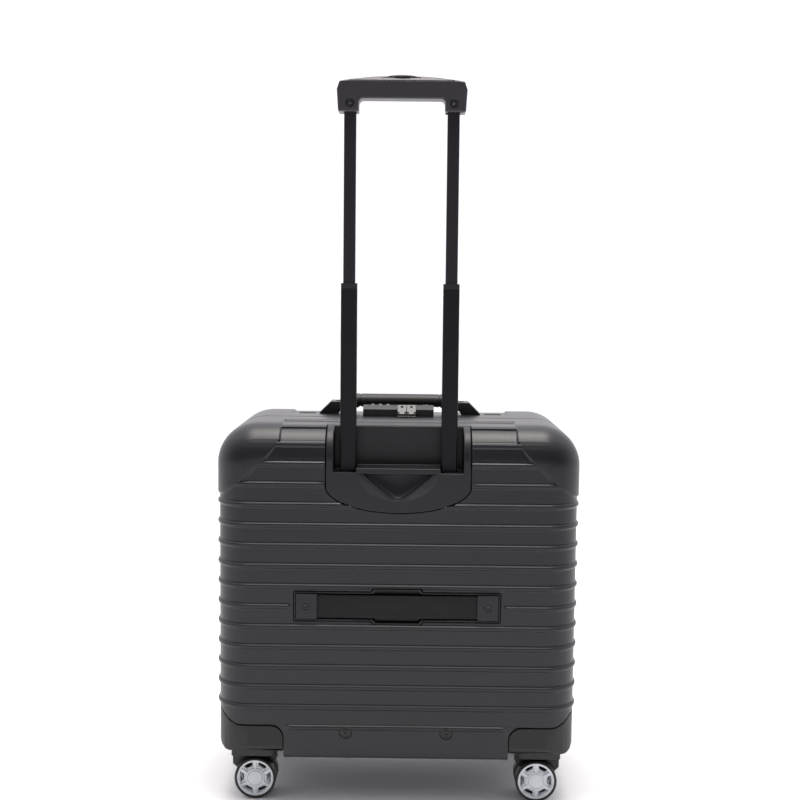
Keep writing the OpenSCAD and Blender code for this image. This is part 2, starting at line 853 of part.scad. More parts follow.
caster_fork(1, -1);  // caster_fork_rear_right
caster_fork(-1, 1);  // caster_fork_front_left
caster_fork(1, 1);  // caster_fork_front_right
caster_axle(-1, -1);  // caster_axle_rear_left
caster_axle(1, -1);  // caster_axle_rear_right
caster_axle(-1, 1);  // caster_axle_front_left
caster_axle(1, 1);  // caster_axle_front_right
wheel_hubs(-1, -1);  // wheel_hubs_rear_left
wheel_hubs(1, -1);  // wheel_hubs_rear_right
wheel_hubs(-1, 1);  // wheel_hubs_front_left
wheel_hubs(1, 1);  // wheel_hubs_front_right
wheel_tyres(-1, -1);  // wheel_tyres_rear_left
wheel_tyres(1, -1);  // wheel_tyres_rear_right
wheel_tyres(-1, 1);  // wheel_tyres_front_left
wheel_tyres(1, 1);  // wheel_tyres_front_right
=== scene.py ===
import math

import bmesh
import bpy
from mathutils import Matrix, Vector, noise


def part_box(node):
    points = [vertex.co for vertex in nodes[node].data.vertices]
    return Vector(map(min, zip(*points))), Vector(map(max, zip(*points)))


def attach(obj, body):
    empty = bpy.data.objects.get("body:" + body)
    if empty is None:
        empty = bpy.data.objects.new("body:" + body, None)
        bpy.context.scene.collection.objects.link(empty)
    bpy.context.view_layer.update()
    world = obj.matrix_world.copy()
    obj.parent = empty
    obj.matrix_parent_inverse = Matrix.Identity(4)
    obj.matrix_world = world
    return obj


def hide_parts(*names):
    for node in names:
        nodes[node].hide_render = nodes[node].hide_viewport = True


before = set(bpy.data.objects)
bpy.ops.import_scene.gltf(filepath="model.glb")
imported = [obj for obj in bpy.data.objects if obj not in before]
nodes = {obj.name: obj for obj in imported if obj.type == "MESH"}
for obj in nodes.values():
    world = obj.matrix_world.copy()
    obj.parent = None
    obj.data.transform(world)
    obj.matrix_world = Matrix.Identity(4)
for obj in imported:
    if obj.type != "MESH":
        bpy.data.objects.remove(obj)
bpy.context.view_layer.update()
mm = 0.001
tiny = 1e-5
print("frame loaded:", len(nodes), "nodes")



def clearSelection():
    if bpy.context.mode != "OBJECT":
        bpy.ops.object.mode_set(mode="OBJECT")
    bpy.ops.object.select_all(action="DESELECT")


def activate(piece):
    clearSelection()
    piece.select_set(True)
    bpy.context.view_layer.objects.active = piece


def startEdit(piece):
    activate(piece)
    bpy.ops.object.mode_set(mode="EDIT")


def endEdit():
    bpy.ops.object.mode_set(mode="OBJECT")


def applyPlace(piece):
    activate(piece)
    bpy.ops.object.transform_apply(location=True, rotation=True, scale=True)


def addBlock(name, low, high):
    clearSelection()
    low, high = Vector(low), Vector(high)
    bpy.ops.mesh.primitive_cube_add(size=1, location=(low + high) / 2)
    piece = bpy.context.object
    piece.name = name
    piece.scale = high - low
    applyPlace(piece)
    return piece


def addRound(name, centre, radius, length, axis="Z", vertices=48, caps="NGON"):
    clearSelection()
    turn = {"X": (0, math.pi / 2, 0), "Y": (math.pi / 2, 0, 0), "Z": (0, 0, 0)}[axis]
    bpy.ops.mesh.primitive_cylinder_add(vertices=vertices, radius=radius, depth=length, location=centre,
                                        rotation=turn, end_fill_type=caps)
    piece = bpy.context.object
    piece.name = name
    applyPlace(piece)
    return piece


# selects in edit mode by place: faces are tested by centre and normal, edges by both ends
def pick(piece, kind, test):
    bpy.ops.mesh.select_mode(type=kind)
    bpy.ops.mesh.select_all(action="DESELECT")
    mesh = bmesh.from_edit_mesh(piece.data)
    if kind == "FACE":
        for face in mesh.faces:
            face.select_set(bool(test(face.calc_center_median(), face.normal)))
    elif kind == "EDGE":
        for edge in mesh.edges:
            edge.select_set(bool(test(edge.verts[0].co, edge.verts[1].co)))
    else:
        for vert in mesh.verts:
            vert.select_set(bool(test(vert.co)))
    mesh.select_flush_mode()
    bmesh.update_edit_mesh(piece.data)


# selects the faces whose own box meets the box from low to high
def pickNear(piece, low, high):
    bpy.ops.mesh.select_mode(type="FACE")
    bpy.ops.mesh.select_all(action="DESELECT")
    mesh = bmesh.from_edit_mesh(piece.data)
    for face in mesh.faces:
        places = [v.co for v in face.verts]
        face.select_set(all(min(p[i] for p in places) <= high[i] and max(p[i] for p in places) >= low[i]
                            for i in range(3)))
    bmesh.update_edit_mesh(piece.data)


def cutAll(point, normal, drop=False, fill=False):
    bpy.ops.mesh.select_all(action="SELECT")
    bpy.ops.mesh.bisect(plane_co=point, plane_no=normal, clear_outer=drop, use_fill=fill, threshold=1e-6)


def cutNear(piece, point, normal, low, high):
    pickNear(piece, low, high)
    bpy.ops.mesh.bisect(plane_co=point, plane_no=normal, threshold=1e-6)


def bevelEdges(width, segments, profile=0.5):
    bpy.ops.mesh.bevel(offset=width, offset_type="OFFSET", segments=segments, profile=profile,
                       affect="EDGES", clamp_overlap=False)


def useModifier(piece, kind, **values):
    activate(piece)
    modifier = piece.modifiers.new(kind.lower(), kind)
    for key, value in values.items():
        setattr(modifier, key, value)
    bpy.ops.object.modifier_apply(modifier=modifier.name)


def subtract(piece, *cutters):
    for cutter in cutters:
        useModifier(piece, "BOOLEAN", operation="DIFFERENCE", object=cutter, solver="EXACT")
        bpy.data.objects.remove(cutter)


# cuts openings in a closed block and leaves no wall of the cutter behind, so that the block stays a skin
def openSkin(piece, *cutters):
    skin, wall = bpy.data.materials.new("skinMark"), bpy.data.materials.new("wallMark")
    piece.data.materials.append(skin)
    for cutter in cutters:
        cutter.data.materials.append(wall)
        useModifier(piece, "BOOLEAN", operation="DIFFERENCE", object=cutter, solver="EXACT", material_mode="TRANSFER")
        bpy.data.objects.remove(cutter)
    walls = {i for i, m in enumerate(piece.data.materials) if m == wall}
    startEdit(piece)
    bpy.ops.mesh.select_mode(type="FACE")
    bpy.ops.mesh.select_all(action="DESELECT")
    mesh = bmesh.from_edit_mesh(piece.data)
    for face in mesh.faces:
        face.select_set(face.material_index in walls)
    bmesh.update_edit_mesh(piece.data)
    bpy.ops.mesh.delete(type="FACE")
    endEdit()
    piece.data.materials.clear()
    for mark in (skin, wall):
        bpy.data.materials.remove(mark)


def smooth(piece, degrees=35):
    activate(piece)
    bpy.ops.object.shade_smooth_by_angle(angle=math.radians(degrees))


def joinPieces(name, pieces):
    activate(pieces[0])
    for piece in pieces[1:]:
        piece.select_set(True)
    bpy.ops.object.join()
    joined = bpy.context.object
    joined.name = name
    return joined


# a copy of a CAD node with its loose triangles merged into whole faces and its edges rounded
def roundedCopy(name, node, edge=0.6 * mm, segments=2, angle=40, clamp=False):
    piece = bpy.data.objects.new(name, nodes[node].data.copy())
    bpy.context.scene.collection.objects.link(piece)
    piece.data.materials.clear()
    startEdit(piece)
    bpy.ops.mesh.select_all(action="SELECT")
    bpy.ops.mesh.remove_doubles(threshold=2e-6)
    bpy.ops.mesh.dissolve_limited(angle_limit=math.radians(0.6))
    endEdit()
    if edge:
        useModifier(piece, "BEVEL", width=edge, segments=segments, limit_method="ANGLE",
                    angle_limit=math.radians(angle), use_clamp_overlap=clamp)
    smooth(piece, angle)
    useModifier(piece, "WEIGHTED_NORMAL", keep_sharp=True)
    return piece


def place(piece, body, slotName, finish, *replaced):
    piece.data.materials.clear()
    piece.data.materials.append(finish)
    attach(piece, body)
    if replaced:
        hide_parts(*replaced)
    return piece



cameraLook = {"place": (9.9 * mm, -1450.3 * mm, 575.3 * mm), "yaw": 0.38, "down": 4.82, "roll": 0.57, "lens": 54.99}
studio = {"skyAhead": 1.1, "skyBehind": 0.06, "skyAbove": 0.8, "backdrop": 1.15, "skyColour": (0.975, 0.955, 1.0, 1),
          "warm": (1, 0.965, 0.9), "floorColour": (0.98, 0.98, 0.98, 1), "floorSize": 40,
          "topPower": 40, "topSize": (1.5, 0.9), "topPlace": (0, -0.15, 2.3), "topTarget": (0, 0, 0.3),
          "backTarget": (0, 0, 0.43), "backPower": 2.5, "backPlace": (0, 2.3, 1.15), "backSize": (3.4, 1.0)}


def addCamera():
    yaw, down, roll = (math.radians(cameraLook[k]) for k in ("yaw", "down", "roll"))
    ahead = Vector((-math.sin(yaw), math.cos(yaw), 0))
    level = Vector((math.cos(yaw), math.sin(yaw), 0))
    forward = ahead * math.cos(down) - Vector((0, 0, math.sin(down)))
    upward = ahead * math.sin(down) + Vector((0, 0, math.cos(down)))
    right = level * math.cos(roll) + upward * math.sin(roll)
    up = upward * math.cos(roll) - level * math.sin(roll)
    turn = Matrix((right, up, -forward)).transposed().to_4x4()
    data = bpy.data.cameras.new("camera")
    data.lens = cameraLook["lens"]
    data.sensor_width = 36
    data.dof.use_dof = False
    camera = bpy.data.objects.new("camera", data)
    bpy.context.scene.collection.objects.link(camera)
    camera.matrix_world = Matrix.Translation(cameraLook["place"]) @ turn
    bpy.context.scene.camera = camera


def addLight(name, centre, target, size, power, colour=(1, 1, 1)):
    data = bpy.data.lights.new(name, "AREA")
    data.shape = "RECTANGLE"
    data.size, data.size_y = size
    data.energy = power
    data.color = colour
    light = bpy.data.objects.new(name, data)
    bpy.context.scene.collection.objects.link(light)
    light.location = centre
    light.rotation_euler = (Vector(target) - Vector(centre)).to_track_quat("-Z", "Y").to_euler()


addCamera()
bpy.context.scene.view_settings.view_transform = "Standard"
world = bpy.data.worlds.new("studio")
bpy.context.scene.world = world
world.use_nodes = True
sky = world.node_tree
direction = sky.nodes.new("ShaderNodeTexCoord")
parts = sky.nodes.new("ShaderNodeSeparateXYZ")
fade = sky.nodes.new("ShaderNodeMapRange")
fade.interpolation_type = "SMOOTHSTEP"
for key, value in (("From Min", -0.6), ("From Max", 0.45), ("To Min", studio["skyBehind"]),
                   ("To Max", studio["skyAhead"])):
    fade.inputs[key].default_value = value
overhead = sky.nodes.new("ShaderNodeMapRange")
overhead.interpolation_type = "SMOOTHSTEP"
for key, value in (("From Min", 0.25), ("From Max", 1), ("To Min", 0), ("To Max", studio["skyAbove"])):
    overhead.inputs[key].default_value = value
total = sky.nodes.new("ShaderNodeMath")
seen = sky.nodes.new("ShaderNodeLightPath")
level = sky.nodes.new("ShaderNodeMix")
level.inputs["B"].default_value = studio["backdrop"]
sky.links.new(direction.outputs["Generated"], parts.inputs[0])
sky.links.new(parts.outputs["Y"], fade.inputs["Value"])
sky.links.new(parts.outputs["Z"], overhead.inputs["Value"])
sky.links.new(fade.outputs[0], total.inputs[0])
sky.links.new(overhead.outputs[0], total.inputs[1])
sky.links.new(seen.outputs["Is Camera Ray"], level.inputs["Factor"])
sky.links.new(total.outputs[0], level.inputs["A"])
sky.links.new(level.outputs[0], sky.nodes["Background"].inputs["Strength"])
sky.nodes["Background"].inputs["Color"].default_value = studio["skyColour"]
addLight("softBoxAbove", studio["topPlace"], studio["topTarget"], studio["topSize"],
         studio["topPower"], studio["warm"])
addLight("softBoxBack", studio["backPlace"], studio["backTarget"], studio["backSize"], studio["backPower"],
         studio["warm"])
print("camera and light done")



class Wire:
    def __init__(self, finish, socket):
        self.finish, self.socket = finish, socket

    def math(self, operation, first, second=None):
        values = {0: first} if second is None else {0: first, 1: second}
        return self.finish.node("ShaderNodeMath", {"operation": operation}, values)

    def __add__(self, other):
        return self.math("ADD", self, other)

    def __radd__(self, other):
        return self.math("ADD", other, self)

    def __sub__(self, other):
        return self.math("SUBTRACT", self, other)

    def __rsub__(self, other):
        return self.math("SUBTRACT", other, self)

    def __mul__(self, other):
        return self.math("MULTIPLY", self, other)

    def __rmul__(self, other):
        return self.math("MULTIPLY", other, self)

    def sine(self):
        return self.math("SINE", self)

    def size(self):
        return self.math("ABSOLUTE", self)


class Finish:
    def __init__(self, name, **fixed):
        self.material = bpy.data.materials.new(name)
        self.material.use_nodes = True
        self.tree = self.material.node_tree
        self.shader = self.tree.nodes["Principled BSDF"]
        for key, value in fixed.items():
            self.shader.inputs[key.replace("_", " ")].default_value = value
        self.place = self.node("ShaderNodeTexCoord", output="Object")

    # settings are set before the sockets' values and links
    def node(self, kind, settings=None, values=None, output=0):
        made = self.tree.nodes.new(kind)
        for key, value in (settings or {}).items():
            if key == "stops":
                ramp = made.color_ramp.elements
                for index, (position, colour) in enumerate(value):
                    stop = ramp[index] if index < 2 else ramp.new(position)
                    stop.position, stop.color = position, colour
            else:
                setattr(made, key, value)
        for key, value in (values or {}).items():
            if isinstance(value, Wire):
                self.tree.links.new(value.socket, made.inputs[key])
            else:
                made.inputs[key].default_value = value
        return Wire(self, made.outputs[output])

    def feed(self, **wires):
        for key, wire in wires.items():
            self.tree.links.new(wire.socket, self.shader.inputs[key.replace("_", " ")])

    def noise(self, scale, detail=2, roughness=0.5, stretch=(1, 1, 1), turn=(0, 0, 0)):
        where = self.node("ShaderNodeMapping", values={"Vector": self.place, "Scale": stretch, "Rotation": turn})
        return self.node("ShaderNodeTexNoise", values={"Vector": where, "Scale": scale, "Detail": detail,
                                                       "Roughness": roughness}, output="Fac")

    def blend(self, factor, first, second):
        return self.node("ShaderNodeMix", {"data_type": "RGBA"}, {"Factor": factor, 6: first, 7: second}, 2)

    def bump(self, height, strength, distance, before=None):
        values = {"Height": height, "Strength": strength, "Distance": distance}
        if before is not None:
            values["Normal"] = before
        return self.node("ShaderNodeBump", values=values, output="Normal")


def tint(colour, factor):
    return (*(c * factor for c in colour[:3]), 1)


# moulded plastic: eroded grain, faint flow and handling marks, paler worn edges
def mouldedPlastic(name, colour, rough, grain=900, depth=0.35, worn=0.5, **fixed):
    finish = Finish(name, **fixed)
    clouds = finish.noise(9, 4)
    marks = finish.noise(60, 6, 0.7, stretch=(1, 1, 6), turn=(0.3, 0.2, 0.4))
    scratches = finish.node("ShaderNodeValToRGB", {"stops": [(0.66, (0, 0, 0, 1)), (0.74, (1, 1, 1, 1))]}, {0: marks})
    edges = finish.node("ShaderNodeNewGeometry", output="Pointiness")
    rub = finish.node("ShaderNodeMapRange", {}, {"Value": edges, "From Min": 0.51, "From Max": 0.6,
                                                 "To Min": 0.0, "To Max": worn})
    shade = finish.blend(clouds, tint(colour, 0.85), tint(colour, 1.18))
    paler = finish.blend(rub, shade, tint(colour, 2.4))
    finish.feed(Base_Color=paler, Roughness=rough + (clouds - 0.5) * 0.1 + scratches * 0.03 - rub * 0.06)
    cells = finish.node("ShaderNodeTexVoronoi", {"feature": "SMOOTH_F1"},
                        {"Vector": finish.place, "Scale": grain, "Smoothness": 0.6}, "Distance")
    fine = finish.noise(grain * 2.3, 2)
    finish.feed(Normal=finish.bump(cells + fine * 0.5, depth, 0.06 * mm))
    return finish.material


# anodised or painted metal: drawn lines along Z, soft smudges
def drawnMetal(name, colour, rough, metallic, lines=0.15, along=(1, 1, 0.02), **fixed):
    finish = Finish(name, Metallic=metallic, **fixed)
    drawn = finish.noise(1600, 2, 0.6, stretch=along)
    smudge = finish.noise(18, 4)
    edges = finish.node("ShaderNodeNewGeometry", output="Pointiness")
    rub = finish.node("ShaderNodeMapRange", {}, {"Value": edges, "From Min": 0.52, "From Max": 0.62,
                                                 "To Min": 0.0, "To Max": 0.6})
    shade = finish.blend(smudge, tint(colour, 0.88), tint(colour, 1.12))
    finish.feed(Base_Color=finish.blend(rub, shade, tint(colour, 1.7)),
                Roughness=rough + (smudge - 0.5) * 0.12 + (drawn - 0.5) * 0.08,
                Normal=finish.bump(drawn, lines, 0.03 * mm))
    return finish.material


# plain weave of two yarns, in the plane of axes u and v, with a pitch in metres
def wovenCloth(name, colour, pitch, u="X", v="Z", depth=0.6, rough=0.85, ribs=0.0, skew=0.0, **fixed):
    finish = Finish(name, **fixed)
    wobble = finish.noise(40, 2)
    parts = finish.node("ShaderNodeSeparateXYZ", values={0: finish.place})
    axes = {axis: Wire(finish, parts.socket.node.outputs[axis]) for axis in "XYZ"}
    turns = 2 * math.pi / pitch
    lean = axes["Y"] * (turns * skew)
    across = (axes[u] * turns + lean + wobble * 1.5).sine()
    along = (axes[v] * turns + lean * 0.5 + wobble * 1.5).sine()
    over = across * along
    yarn = over.size()
    height = yarn + (across * ribs)
    fuzz = finish.noise(2400, 3, 0.7)
    soil = finish.noise(14, 4)
    dark = finish.blend(yarn, tint(colour, 0.55), tint(colour, 1.25))
    faded = finish.blend(soil * 0.5, dark, tint(colour, 1.6))
    finish.feed(Base_Color=finish.blend(fuzz * 0.35, faded, tint(colour, 1.9)), Roughness=rough + (fuzz - 0.5) * 0.15,
                Normal=finish.bump(height + fuzz * 0.4, depth, 0.25 * mm))
    return finish.material


def rubber(name, colour, rough):
    finish = Finish(name)
    dust = finish.noise(55, 5, 0.65)
    dusty = finish.node("ShaderNodeMapRange", {}, {"Value": dust, "From Min": 0.5, "From Max": 0.8,
                                                   "To Min": 0.0, "To Max": 0.5})
    pores = finish.noise(2600, 2)
    finish.feed(Base_Color=finish.blend(dusty, tint(colour, 1), tint((0.09, 0.085, 0.08), 1)),
                Roughness=rough + dusty * 0.2, Normal=finish.bump(pores, 0.2, 0.05 * mm))
    return finish.material


shellPlastic = mouldedPlastic("shellPlastic", (0.0085, 0.0080, 0.0118), 0.36, worn=0.35, Specular_IOR_Level=0.43)
panelPlastic = mouldedPlastic("panelPlastic", (0.0075, 0.0072, 0.0095), 0.40, grain=1200, Specular_IOR_Level=0.38)
housingPlastic = mouldedPlastic("housingPlastic", (0.0098, 0.0092, 0.0105), 0.46, grain=1200, Specular_IOR_Level=0.36)
casterPlastic = mouldedPlastic("casterPlastic", (0.006, 0.006, 0.0065), 0.42, grain=1500)
bracketPlastic = mouldedPlastic("bracketPlastic", (0.006, 0.006, 0.0065), 0.4, grain=1500)
gripPlastic = mouldedPlastic("gripPlastic", (0.031, 0.028, 0.034), 0.34, grain=1300)
softTouch = mouldedPlastic("softTouch", (0.014, 0.0135, 0.0125), 0.5, grain=2200, depth=0.5, worn=0.2)
hubPlastic = mouldedPlastic("hubPlastic", (0.72, 0.755, 0.79), 0.38, grain=1800, depth=0.15, worn=0.0)
blackTube = drawnMetal("blackTube", (0.0035, 0.003, 0.0045), 0.45, 0.0, Specular_IOR_Level=0.22)
# upper tubes: the lower tubes' black made paler and glossier, a painted highlight standing in for the light on their
# edges
upperTubePaintedSheen = drawnMetal("upperTubePaintedSheen", (0.0105, 0.0085, 0.0125), 0.42, 0.0, Specular_IOR_Level=0.3)
blackMetal = drawnMetal("blackMetal", (0.008, 0.008, 0.008), 0.45, 0.0, along=(0.02, 1, 1))
steel = drawnMetal("steel", (0.42, 0.42, 0.43), 0.32, 1.0)
darkSteel = drawnMetal("darkSteel", (0.03, 0.03, 0.032), 0.4, 0.6)
aluminium = drawnMetal("aluminium", (0.6, 0.6, 0.61), 0.35, 1.0)
lockGrey = drawnMetal("lockGrey", (0.032, 0.032, 0.032), 0.42, 0.2, along=(0.02, 1, 1))
pullGrey = drawnMetal("pullGrey", (0.13, 0.13, 0.125), 0.4, 0.6, along=(0.02, 1, 1))
dialBlack = mouldedPlastic("dialBlack", (0.012, 0.012, 0.012), 0.35, grain=2500, depth=0.1, worn=0.3)
figureIvory = mouldedPlastic("figureIvory", (0.62, 0.62, 0.6), 0.5, grain=2500, depth=0.1, worn=0.0)
strapWeb = wovenCloth("strapWeb", (0.0058, 0.0056, 0.0070), 1.9 * mm, depth=0.8, ribs=0.3)
elasticWeb = wovenCloth("elasticWeb", (0.012, 0.012, 0.013), 1.5 * mm, depth=0.7, ribs=0.6)
zipCloth = wovenCloth("zipCloth", (0.006, 0.006, 0.0065), 0.9 * mm, u="Y", v="Z", depth=0.5)
bindingCloth = wovenCloth("bindingCloth", (0.03, 0.03, 0.032), 0.9 * mm, depth=0.4, skew=1)
liningCloth = wovenCloth("liningCloth", (0.075, 0.075, 0.082), 0.8 * mm, depth=0.35, rough=0.6, skew=1)
zipBlack = mouldedPlastic("zipBlack", (0.003, 0.003, 0.0032), 0.5, grain=2500, worn=0.1, Specular_IOR_Level=0.2)
threadBlack = rubber("threadBlack", (0.012, 0.012, 0.013), 0.6)
tyreRubber = rubber("tyreRubber", (0.006, 0.006, 0.006), 0.55)


def floorFinish():
    finish = Finish("paleFloor", Roughness=0.9)
    shade = finish.noise(3, 3)
    finish.feed(Base_Color=finish.blend(shade, studio["floorColour"], tint(studio["floorColour"], 0.985)))
    return finish.material


clearSelection()
bpy.ops.mesh.primitive_plane_add(size=studio["floorSize"], location=(0, 0, 0))
floor = bpy.context.object
floor.name = "floor"
floor.data.materials.append(floorFinish())
print("finishes done")



rearLow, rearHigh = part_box("rear_shell")
frontLow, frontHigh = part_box("front_shell")
caseLook = {"proud": 2 * mm, "topCorner": 44 * mm, "rearEdge": 38 * mm, "frontEdge": 26 * mm, "sill": 11 * mm,
            "wall": 2.6 * mm, "ribHeight": 6.8 * mm, "ribFlat": 2.2 * mm, "lowestRib": 91.3 * mm, "ribPitch": 23 * mm,
            "ribCount": 14, "rim": 34 * mm, "rimFoot": 95 * mm, "soft": 1.3 * mm, "seam": 0.7 * mm, "lip": 0.7 * mm}
halfWidth = rearHigh.x - caseLook["proud"]
caseTop = rearHigh.z - caseLook["proud"]
caseBottom = rearLow.z
faceY = {-1: rearLow.y + caseLook["proud"], 1: frontHigh.y - caseLook["proud"]}
seamY = {-1: rearHigh.y, 1: frontLow.y}
domeOutline = [(132 * mm, caseTop + 20 * mm), (132 * mm, caseTop - 16 * mm), (147 * mm, caseTop - 35 * mm),
               (177 * mm, caseTop - 63 * mm), (195 * mm, caseTop - 76 * mm), (halfWidth + 9 * mm, caseTop - 81 * mm)]
ribMiddles = [caseLook["lowestRib"] + k * caseLook["ribPitch"] for k in range(caseLook["ribCount"])]
ribMiddles.append(caseTop - 20 * mm)
strapLow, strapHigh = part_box("strap_tray")
panelLow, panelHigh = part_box("handle_panel")


# gives a skin its wall and rounds only the cut edges, where the wall shows
def thicken(piece, wall, lip):
    marks = [bpy.data.materials.new("faceMark"), bpy.data.materials.new("rimMark")]
    piece.data.materials.clear()
    for mark in marks:
        piece.data.materials.append(mark)
    useModifier(piece, "SOLIDIFY", thickness=wall, offset=-1, use_rim=True, material_offset_rim=1)
    startEdit(piece)
    bpy.ops.mesh.select_mode(type="FACE")
    bpy.ops.mesh.select_all(action="DESELECT")
    mesh = bmesh.from_edit_mesh(piece.data)
    for face in mesh.faces:
        face.select_set(face.material_index == 1)
    bmesh.update_edit_mesh(piece.data)
    bpy.ops.mesh.region_to_loop()
    bevelEdges(lip, 2)
    endEdit()
    piece.data.materials.clear()
    for mark in marks:
        bpy.data.materials.remove(mark)
    piece.data.validate()
    smooth(piece, 45)
    useModifier(piece, "WEIGHTED_NORMAL", keep_sharp=True)


# one half of the case as a closed rounded block, shrunk by inset; side -1 is the rear, 1 the front
def halfCase(name, side, inset=0.0, segments=12):
    width, top, bottom = halfWidth - inset, caseTop - inset, caseBottom + inset
    outer = faceY[side] - side * inset
    inner = seamY[side] + side * inset * 0.15
    piece = addBlock(name, (-width, min(outer, inner), 0), (width, max(outer, inner), top))
    startEdit(piece)
    pick(piece, "EDGE", lambda a, b: min(a.z, b.z) > top - tiny and abs(a.x - b.x) < tiny)
    bevelEdges(caseLook["topCorner"] - inset, segments + 2)
    pick(piece, "EDGE", lambda a, b: max(abs(a.y - outer), abs(b.y - outer)) < tiny and max(a.z, b.z) > tiny)
    bevelEdges(caseLook["rearEdge" if side < 0 else "frontEdge"] - inset, segments)
    cutAll((0, 0, bottom), (0, 0, -1), drop=True, fill=True)
    pick(piece, "EDGE", lambda a, b: max(a.z, b.z) < bottom + tiny
         and not (abs(a.y - inner) < tiny and abs(b.y - inner) < tiny))
    bevelEdges(caseLook["sill"] - inset * 0.5, 6)
    endEdit()
    return piece


def softStep(distance, soft):
    t = min(max((distance + soft) / (2 * soft), 0), 1)
    return t * t * (3 - 2 * t)


# distance inside the dome's outline, seen from the rear; negative outside
def insideDome(x, z):
    best = 1.0
    for (x0, z0), (x1, z1) in zip(domeOutline, domeOutline[1:]):
        length = math.hypot(x1 - x0, z1 - z0)
        best = min(best, ((z - z0) * (x1 - x0) - (x - x0) * (z1 - z0)) / length)
    return best


# how far, from 0 to 1, the shell stands proud at a point
def proudness(point, side):
    x, y, z = abs(point.x), point.y, point.z
    soft = caseLook["soft"]
    raised = softStep(insideDome(x, z), soft)
    for k, middle in enumerate(ribMiddles):
        away = abs(z - middle)
        if away < caseLook["ribHeight"] / 2:
            flat = caseLook["ribFlat"] / 2
            t = max(away - flat, 0) / (caseLook["ribHeight"] / 2 - flat)
            rib = (math.cos(math.pi * t) + 1) / 2
            if k == 0:
                rib *= softStep(122 * mm - x, 2 * mm)
            if side < 0 and k == 6:
                rib *= softStep(x - strapHigh.x - 5 * mm, 2 * mm)
            raised = max(raised, rib)
    fromSeam = (seamY[side] - y) * -side if side > 0 else seamY[side] - y
    rim = softStep(caseLook["rim"] - fromSeam, soft) * softStep(z - caseLook["rimFoot"] - 2 * mm, 4 * mm)
    raised = max(raised, rim)
    if side < 0:
        bead = softStep(2.5 * mm - abs(y - faceY[-1] - 24 * mm), 0.8 * mm)
        raised = max(raised, bead * softStep(150 * mm - x, soft) * softStep(z - caseTop + 20 * mm, soft))
    else:
        bead = softStep(2.5 * mm - abs(y - 50.5 * mm), 0.8 * mm)
        along = softStep(10.5 * mm - abs(x - 113.5 * mm), soft)
        raised = max(raised, bead * along * softStep(z - caseTop + 20 * mm, soft))
    return raised


def cutShellLines(piece, side):
    soft = caseLook["soft"]
    everything = (-1, -1, caseTop - 30 * mm), (1, 1, 1)
    for mirror in (-1, 1):
        for (x0, z0), (x1, z1) in zip(domeOutline, domeOutline[1:]):
            length = math.hypot(x1 - x0, z1 - z0)
            normal = Vector((mirror * (z1 - z0) / length, 0, -(x1 - x0) / length))
            xs = sorted((mirror * x0, mirror * x1))
            for shift in (-1.6, -0.7, 0, 0.7, 1.6):
                point = Vector((mirror * x0, 0, z0)) + normal * shift * soft / 1.3
                cutNear(piece, point, normal, (xs[0] - 3 * mm, -1, min(z0, z1) - 3 * mm),
                        (xs[1] + 3 * mm, 1, max(z0, z1) + 3 * mm))
    rimEdge = seamY[side] + side * caseLook["rim"]
    for shift in (-1.7, -1, -0.4, 0.4, 1, 1.7):
        cutAll((0, rimEdge + shift * mm, 0), (0, 1, 0))
    beadMiddle = faceY[-1] + 24 * mm if side < 0 else 50.5 * mm
    for shift in (-3.8, -3.1, -2.5, -1.9, 1.9, 2.5, 3.1, 3.8):
        cutNear(piece, (0, beadMiddle + shift * mm, 0), (0, 1, 0), *everything)
    for end in ((150,) if side < 0 else (103, 124)):
        for shift in (-1.3, 0, 1.3):
            for mirror in (-1, 1):
                cutNear(piece, (mirror * (end + shift) * mm, 0, 0), (1, 0, 0), *everything)
    for end, k in ((122 * mm, 0), (strapHigh.x + 5 * mm, 6)):
        low = (-1, -1, ribMiddles[k] - 5 * mm)
        high = (1, 1, ribMiddles[k] + 5 * mm)
        for shift in (-2, -1, 0, 1, 2):
            for mirror in (-1, 1):
                cutNear(piece, (mirror * (end + shift * mm), 0, 0), (1, 0, 0), low, high)
    for shift in (-2, -0.7, 0.7, 2, 3.3, 4.7, 6):
        cutAll((0, 0, caseLook["rimFoot"] + shift * mm), (0, 0, 1))
    for middle in ribMiddles:
        for shift in (-4.4, -3.4, -2.6, -1.8, -1.1, 1.1, 1.8, 2.6, 3.4, 4.4):
            cutAll((0, 0, middle + shift * mm), (0, 0, 1))


def housingCutter(side, mirror):
    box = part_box(("rear" if side < 0 else "front") + "_wheel_housing_" + ("left" if mirror < 0 else "right"))
    grow = caseLook["seam"]
    near = min(abs(box[0].x), abs(box[1].x)) - grow
    far = 240 * mm
    innerY = (box[1].y + grow) if side < 0 else (box[0].y - grow)
    cornerTop = 92.6 * mm + grow
    xs = sorted((mirror * near, mirror * far))
    ys = sorted((innerY, side * 200 * mm))
    cutter = addBlock("housingCutter", (xs[0], ys[0], 20 * mm), (xs[1], ys[1], cornerTop))
    startEdit(cutter)
    for x in (180, 190, 198, 206):
        cutAll((mirror * x * mm, 0, 0), (1, 0, 0))
    lifts = ((190, 4), (198, 11), (206, 14), (240, 22))
    for x, lift in lifts:
        pick(cutter, "VERT", lambda p: abs(abs(p.x) - x * mm) < tiny and p.z > cornerTop - tiny)
        bpy.ops.transform.translate(value=(0, 0, lift * mm))
    pick(cutter, "EDGE", lambda a, b: max(abs(abs(a.x) - near), abs(abs(b.x) - near)) < tiny
         and min(a.z, b.z) > cornerTop - tiny)
    bevelEdges(14 * mm, 8)
    endEdit()
    return cutter


def panelCutters():
    grow = caseLook["seam"]
    half = panelHigh.x + grow
    sideFoot = panelLow.z + 30 * mm
    straight = addBlock("panelCutter", (-half, -200 * mm, sideFoot), (half, panelHigh.y + grow, 500 * mm))
    bowl = addRound("bowlCutter", (0, 0, 0), 1, 1, "Y", 96)
    bowl.scale = (half, 200 * mm, 30 * mm + grow)
    bowl.location = (0, panelHigh.y + grow - 100 * mm, sideFoot)
    applyPlace(bowl)
    return straight, bowl


